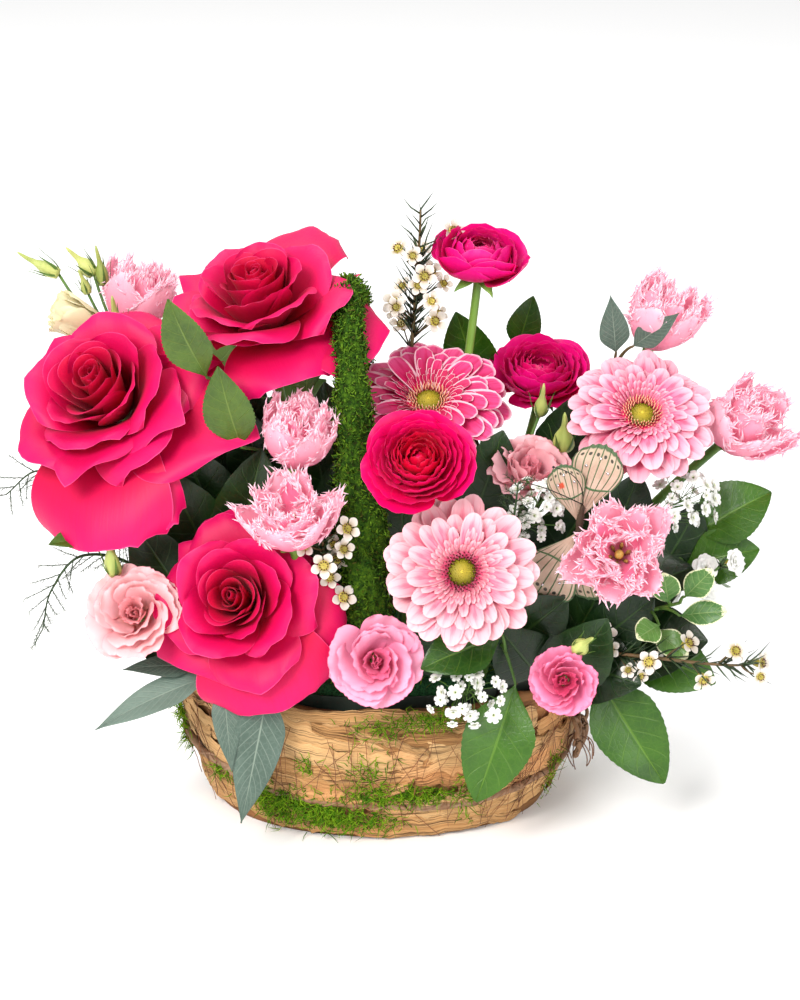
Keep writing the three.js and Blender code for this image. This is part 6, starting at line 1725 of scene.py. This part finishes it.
def mossTufts(patches, chance):
    # Strands rooted on the strips in scattered patches; they lie mostly along the wall and curl outwards
    out = 5.2
    roots, tips, tones = [], [], []
    for angle, height, halfAngle, halfHeight, number, length in patches:
        around = angle + halfAngle * chance.normal(0, 0.5, number)
        level = np.clip(height + halfHeight * chance.normal(0, 0.5, number), 1, 82)
        spot = wallPoint(around, level, out)
        outward = unit(spot * np.array([0.45, 1, 0]))
        roots.append(spot)
        tips.append(spot + (lying(outward, 0.75, chance) + outward * chance.uniform(0.1, 0.7, (number, 1)))
                    * length * chance.uniform(0.5, 1.2, (number, 1)))
        tones.append(chance.random(number))
    roots, tips = np.concatenate(roots), np.concatenate(tips)
    tips[:, 2] = np.maximum(tips[:, 2], 0.4)
    bend = chance.normal(0, 1.0, (len(roots), 3))
    strands = spikes(roots, tips, 0.3, bend, np.concatenate(tones))
    strands["points"][:, 2] = np.maximum(strands["points"][:, 2], 0.2)
    return strands


# angle, height, half spreads, strands and their length
basketMoss = [
    (-171, 52, 6, 13, 170, 7), (-174, 34, 5, 8, 90, 8), (-121, 20, 13, 11, 620, 7), (-106, 17, 9, 9, 260, 6),
    (-97, 14, 14, 7, 330, 6), (-88, 30, 14, 6, 380, 6), (-76, 29, 12, 5, 150, 6), (-93, 46, 7, 12, 70, 7),
    (-63, 30, 5, 20, 90, 7), (-111, 46, 4, 6, 36, 6), (-145, 30, 6, 4, 60, 6), (-27, 26, 4, 14, 70, 6),
    (-18, 68, 6, 8, 60, 6), (-75, 74, 8, 5, 150, 6), (-88, 71, 12, 7, 120, 7), (-130, 74, 10, 4, 90, 6),
    (60, 40, 20, 16, 260, 7), (120, 20, 18, 12, 260, 7), (95, 66, 12, 8, 120, 7), (160, 60, 8, 8, 70, 7),
    (20, 30, 8, 14, 90, 7)]


def growBasket():
    chance = np.random.default_rng(basketValues["seed"])
    sides = basketValues["sides"]
    angle = 360 * np.arange(sides) / sides
    turn = np.radians(angle)
    rim = basketValues["height"] - 1.2 + 1.0 * waves(angle, 12, 6, 360 / 31, 360 / 5)
    rise = np.linspace(0, 1, basketValues["rows"])[:, None]
    height = rise * rim
    strands = 0.5 * np.sin(height * 1.1 + 2.1 * np.sin(3 * turn) + 1.3 * np.sin(7 * turn + 1))
    strands = strands + 0.4 * np.sin(height * 0.55 - 1.6 * np.sin(4 * turn + 2))
    strands = strands + 0.25 * np.sin(9 * turn + height)
    outer = wallPoint(angle, height, 0.6 + strands * smooth(rise, 0, 0.05))
    wall = basketValues["wall"]
    inner = [wallPoint(angle, rim + 0.6, -0.4 * wall), wallPoint(angle, rim, -0.85 * wall)]
    inner += [wallPoint(angle, level + 0 * rim, -wall) for level in (60, 40, 20, basketValues["floor"])]
    shell = closeRings(np.concatenate([outer, np.stack(inner)])[None], 0.5)
    strips = barkStrips(strayStrips(chance) + basketValues["frontStrips"], chance)
    threads = threadPaths(chance)
    shapes = [coated(shell, 0), coated(strips, 1),
              coated(tubes(threads, chance.uniform(0.12, 0.2, (len(threads), 1)) + np.zeros((1, 16)), 5,
                           chance.random(len(threads))), 2),
              coated(mossTufts(basketMoss, chance), 3)]
    putPiece("basket_bark_wall_seen", shapes, [paintedShadeBarkWall, barkStrip, threadFinish, mossBright], "bark",
             ["basket_bark_wall"])


vineValues = {
    "radius": 1.75, "stations": 340, "knotAngle": -14, "seed": 93,
    # half width, half height, tilt, offset along and up, half thickness
    "loops": [(6, 10, 0.3, (1, -2), 1.5), (5, 8, -0.5, (-3, 2), 1.2), (7, 6, 0.9, (2, 5), 1.0)],
}


def hoopPath(stations, out):
    angle = 360 * np.arange(stations) / stations
    turn = np.radians(angle)
    height = 37 + 14.5 * np.sin(turn) - 5 * np.cos(turn) + 0.9 * np.sin(7 * turn)
    return wallPoint(angle, height, out)


def growVine():
    # The main vine goes once round; a thinner one winds about it, and both meet in loose loops
    chance = np.random.default_rng(vineValues["seed"])
    stations = vineValues["stations"]
    path = hoopPath(stations, 1.6 + 1.7 + 1.1)
    share = np.arange(stations) / stations
    lumps = 0.12 * waves(share * 400, 21, 6, 400 / 90, 400 / 12)
    rings = sweepRings(path[None], [vineValues["radius"] * (1 + lumps)], 12)
    shapes = [coated(closeRings(rings, 0.4, wrap=True), 0)]
    # the thin one
    part = np.arange(200) / 200 * 0.62 + 0.42
    base = np.array([atShare(path, one % 1) for one in part])
    swirl = part * 2 * np.pi * 21
    outward = unit(base * np.array([0.45, 1, 0]))
    thin = base + 1.9 * (outward * np.cos(swirl)[:, None] + np.array([0, 0, 1]) * np.sin(swirl)[:, None])
    shapes.append(coated(tubes([thin], [np.full(200, 0.55)], 6, 0.7), 0))
    # loops of the knot, each a lumpy ring that stands off the wall
    middle = wallPoint(vineValues["knotAngle"], 40, 7)
    aside = unit(wallPoint(vineValues["knotAngle"] + 4, 40) - wallPoint(vineValues["knotAngle"] - 4, 40))
    outward = unit(np.cross(aside, [0, 0, 1]))
    for reach, tall, tilt, offset, thick in vineValues["loops"]:
        t = 2 * np.pi * np.arange(10) / 10
        ring = (middle + offset[0] * aside + np.array([0, 0, offset[1]])
                + reach * np.cos(t)[:, None] * aside + tall * np.sin(t + tilt)[:, None] * np.array([0, 0, 1])
                + (2 + 1.6 * np.cos(t * 2 + tilt))[:, None] * outward)
        loop = alongSpline(ring, 48, wrap=True)
        shapes.append(coated(closeRings(sweepRings(loop[None], [np.full(48, thick)], 9), 0.3, wrap=True), 0))
    ends = chance.normal(0, 1, (9, 3))
    roots = middle + np.zeros((9, 3))
    tips = middle + ends * np.array([5, 5, 4]) + np.array([3, -3, -16])
    part = np.linspace(0, 1, 9)[None, :, None]
    wires = roots[:, None] * (1 - part) + tips[:, None] * part
    wires = wires + 5 * np.sin(np.pi * part) * unit(ends)[:, None]
    shapes.append(coated(tubes(wires, np.full((9, 9), 0.3), 5, 0.1), 1))
    putPiece("basket_vine_hoop_seen", shapes, [vineBark, threadFinish], "vine", ["basket_vine_hoop"])


growBasket()
growVine()
print("The basket is woven")


# The handle: a lumpy core under a coat of short curly strands

handleValues = {
    "x": -6, "lean": -9, "leanPower": 1.6, "footHeight": 56, "rimHeight": 88, "springHeight": 150,
    "topHeight": 268, "halfSpan": 51, "footInset": 10, "rimInset": 7,
    # radius along the arch from the front foot over the top to the back foot
    "radii": [14, 14, 14, 13, 10.5, 8.2, 7.4, 6.6, 7.6, 9, 8, 7.4, 8, 9, 10, 11.5, 12],
    "stations": 130, "sides": 22, "strands": 8600, "strandLength": 2.3, "seed": 95,
}


def handlePath():
    v = handleValues
    turn = np.pi - np.pi * np.arange(13) / 12
    y = [-v["halfSpan"] + v["footInset"], -v["halfSpan"] + v["rimInset"], *(v["halfSpan"] * np.cos(turn)),
         v["halfSpan"] - v["rimInset"], v["halfSpan"] - v["footInset"]]
    arch = v["springHeight"] + (v["topHeight"] - v["springHeight"]) * np.sin(turn)
    z = [v["footHeight"], v["rimHeight"], *arch, v["rimHeight"], v["footHeight"]]
    share = np.clip((np.array(z) - v["footHeight"]) / (v["topHeight"] - v["footHeight"]), 0, None)
    x = v["x"] + v["lean"] * share ** v["leanPower"]
    return alongSpline(np.stack([x, y, z], -1), v["stations"])


def growHandle():
    v = handleValues
    chance = np.random.default_rng(v["seed"])
    path = handlePath()
    share = np.linspace(0, 1, v["stations"])
    radii = np.interp(share * (len(v["radii"]) - 1), np.arange(len(v["radii"])), v["radii"])
    around = 2 * np.pi * np.arange(v["sides"]) / v["sides"]
    lumps = 0.10 * waves(share[:, None] * 300 + 9 * np.sin(around), 31, 6, 12, 60)
    lumps = lumps + 0.07 * waves(around[None, :] * 8 + share[:, None] * 90, 32, 5, 8, 50)
    core = sweepRings(path[None], radii[None] * 0.86, v["sides"], lumps[None])
    shapes = [coated(closeRings(core, 0.4), 1)]
    # strands rooted on the core, as dense where the handle is thick as where it is thin
    number = v["strands"]
    filled = np.cumsum(radii) / np.sum(radii)
    spot = np.interp(chance.uniform(filled[0], 1, number), filled, np.arange(v["stations"]))
    spot = spot.clip(0, v["stations"] - 1.001)
    column = chance.integers(0, v["sides"], number)
    low = spot.astype(int)
    part = (spot - low)[:, None]
    root = core[0, low, column] * (1 - part) + core[0, low + 1, column] * part
    centre = path[low] * (1 - part) + path[low + 1] * part
    outward = unit(root - centre)
    flat = lying(outward, 0.8, chance)
    length = v["strandLength"] * chance.uniform(0.5, 1.3, (number, 1))
    tips = root + (flat * 0.9 + outward * chance.uniform(0.05, 0.6, (number, 1))) * length
    root = root + outward * 0.5
    bend = chance.normal(0, 0.9, (number, 3)) + outward * 0.8
    shapes.append(coated(spikes(root, tips, 0.46, bend, chance.random(number)), 0))
    putPiece("handle_moss_arch_seen", shapes, [mossStrand, mossCore], "moss", ["handle_moss_arch"])


growHandle()

# The liner and the foam keep their solids; moss lies on the foam between the stems

linerFinish = Finish("linerFinish", {"Roughness": 0.35, "Specular IOR Level": 0.5})
linerCrease = linerFinish.noise(38, 4, 0.6, (1, 1, 0.4))
linerFinish.close(linerFinish.blend(linerCrease, (26, 34, 30), (52, 62, 54)), linerCrease, 0.002)
foamFinish = Finish("foamFinish", {"Roughness": 0.9, "Specular IOR Level": 0.1})
foamPores = foamFinish.noise(900, 3, 0.7)
foamFinish.close(foamFinish.blend(foamFinish.step(foamPores, 0.35, 0.6), (18, 44, 26), (40, 84, 48)),
                 foamPores, 0.0008)
keptFinishes = {"basket_liner": linerFinish.material, "floral_foam": foamFinish.material}
for name, material in keptFinishes.items():
    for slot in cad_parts[name].material_slots:
        slot.material = material

foamMossValues = {"half": (86, 54), "height": 83, "strands": 1150, "length": 9, "seed": 97}


def growFoamMoss():
    v = foamMossValues
    chance = np.random.default_rng(v["seed"])
    number = v["strands"]
    turn = chance.uniform(0, 2 * np.pi, number)
    reach = np.sqrt(chance.random(number))
    x, y = v["half"][0] * reach * np.cos(turn), v["half"][1] * reach * np.sin(turn)
    roots = np.stack([x, y, np.full(number, v["height"])], -1)
    lean = chance.normal(0, 0.8, (number, 3)) + np.array([0, 0, 0.7])
    tips = roots + unit(lean) * v["length"] * chance.uniform(0.5, 1.2, (number, 1))
    tips[:, 2] = np.maximum(tips[:, 2], v["height"] - 1)
    strands = spikes(roots, tips, 0.45, chance.normal(0, 1.2, (number, 3)), chance.random(number))
    putPiece("foam_moss_seen", [strands], [mossStrand], "moss", [])


growFoamMoss()
print("The handle and the foam are covered with moss")


# The butterfly

butterflyValues = {
    "middle": (97, -47, 166), "face": (-0.2, -0.95, 0.2), "seed": 99,
    # base and tip from the middle, width, and how the wing's two halves differ
    "wings": [((-1, 0, 3), (12, 5, 41), 26, 0.7), ((-1, 0, 2), (-10, 2, 32), 19, 0.7),
              ((-2, 0, -3), (-21, 1, -37), 32, 0.62), ((0, 0, -4), (12, 2, -40), 25, 0.62)],
}


def wingFinish(name):
    # Veins fan out from the root, a dark line and a row of dots follow the border
    finish = Finish(name, {"Roughness": 0.55, "Sheen Weight": 0.2})
    across, along = finish.mapAxes()
    side = abs(across * 2 - 1)
    cell = (across * 7).maths("FRACT")
    vein = 1 - finish.step(abs(cell - 0.5), 0.03, 0.10)
    ringVein = 1 - finish.step(abs(along + side * side * -0.1 - 0.42), 0.006, 0.02)
    veins = (vein * finish.step(along, 0.12, 0.4)).maths("MAXIMUM", ringVein)
    edge = side.maths("MAXIMUM", along)
    border = finish.step(edge, 0.93, 0.955)
    dotRow, dotColumn = (along - 0.86) * 36, ((across * 7 + 0.5).maths("FRACT") - 0.5) * 4.6
    dots = 1 - finish.step(dotRow * dotRow + dotColumn * dotColumn, 0.75, 1.1)
    patches = finish.noise(90, 3, 0.6)
    colour = finish.blend(finish.step(patches, 0.3, 0.7), (182, 150, 130), (206, 180, 160))
    colour = finish.blend(finish.step(along, 0.62, 0.9) * 0.3, colour, (186, 178, 146))
    colour = finish.blend(veins * 0.95, colour, (30, 96, 44))
    colour = finish.blend(border * 0.95, colour, (40, 84, 40))
    colour = finish.blend(dots * 0.95, colour, (18, 34, 22))
    spotAcross = 1 - finish.step(abs(across - 0.64), 0.05, 0.09)
    spot = spotAcross * (1 - finish.step(abs(along - 0.66), 0.03, 0.06))
    spot = spot * finish.step(finish.attribute("tone"), 0.6, 0.7)
    colour = finish.blend(spot, colour, (206, 70, 36))
    return finish.close(colour, veins + border * 0.5, 0.0003, through=0.15, throughColour=(206, 184, 140))


butterflyWing = wingFinish("butterflyWing")
butterflyBody = stemFinish("butterflyBody", (120, 92, 64), (60, 42, 30), roughness=0.7)
antennaFinish = stemFinish("antennaFinish", (40, 34, 30), (20, 16, 14))
silverBead = Finish("silverBead", {"Metallic": 1.0, "Roughness": 0.22, "Base Color": (214, 214, 218)})
silverBead.close(silverBead.blend(silverBead.noise(900, 2, 0.5), (190, 190, 196), (236, 236, 240)))


def growButterfly():
    v = butterflyValues
    middle = floats(v["middle"])
    face = unit(floats(v["face"]))
    shapes = []
    beadSpots = []
    for number, (base, tip, width, widest) in enumerate(v["wings"]):
        base, tip = middle + base, middle + tip
        ahead = tip - base
        length = np.linalg.norm(ahead)
        side = unit(np.cross(ahead, face))
        s = np.linspace(0, 1, 33)[None, :]
        t = np.linspace(-1, 1, 19)[:, None]
        # narrow at the root, fullest near the tip, a rounded scalloped end
        spread = width / 2 * np.sin(np.pi * np.clip(s, 0, 1) ** 1.5 * widest) ** 0.8
        scallop = 1 - 0.03 * np.abs(np.sin(3.5 * np.pi * t)) * smooth(s, 0.7, 1)
        reach = length * s * (1 - 0.16 * t**2 * s) * scallop
        wave = 0.9 * np.sin(np.pi * s) * np.cos(np.pi * t) + 1.4 * t**2 * s
        grid = (base + reach[..., None] * unit(ahead) + (spread * t)[..., None] * side
                + wave[..., None] * face)
        shapes.append(coated(closeSheets(grid[None, ::-1], 0.7, 0.9 if number == 1 else 0.2), 0))
        beadSpots.extend(grid[across, along] + 0.8 * face for across, along in ((5, 22), (9, 26), (13, 22)))
    stations = np.linspace(0, 1, 20)
    low, high = middle + (-2, 0, -13), middle + (1, -1, 12)
    body = low + (high - low) * stations[:, None] + np.outer(np.sin(np.pi * stations) * 0.8, face)
    girth = np.interp(stations, [0, 0.15, 0.4, 0.5, 0.62, 0.78, 0.82, 0.93, 1],
                      [0.4, 1.2, 1.5, 1.3, 2.1, 1.7, 1.1, 1.4, 0.4])
    shapes.append(coated(tubes([body + 0.6 * face], [girth], 12), 1))
    chance = np.random.default_rng(v["seed"])
    number = 260
    at = chance.uniform(0.1, 0.95, number)
    centre = low + (high - low) * at[:, None] + 0.8 * face
    loose = unit(chance.normal(0, 1, (number, 3)))
    roots = centre + loose * 1.0
    shapes.append(coated(spikes(roots, roots + loose * 1.3, 0.16, 0, chance.random(number)), 1))
    for lean in (-1, 1):
        start = high + 0.6 * face
        end = middle + np.array([-22 + 8 * lean, -8, 30 + 4 * lean])
        path = between(start, end, 14, (4 * lean, -2, 4))
        shapes.append(coated(tubes([path], [np.linspace(0.3, 0.22, 14)], 5), 2))
        shapes.append(coated(beads([path[-1]], 0.7), 2))
    shapes.append(coated(beads(beadSpots, 0.75), 3))
    wire = stemPath(middle + np.array([0, 1, -8]), (-4, 4, -20), (52, -44), 30, 24)
    shapes.append(coated(tubes([wire], [np.full(24, 0.7)], 6), 2))
    putPiece("butterfly_pick_seen", shapes,
             [butterflyWing, butterflyBody, antennaFinish, silverBead.material],
             "butterfly_wing", ["butterfly_pick"])


growButterfly()
print("The butterfly is pinned")


print(f"All pieces are placed, {totals['triangles']} triangles")
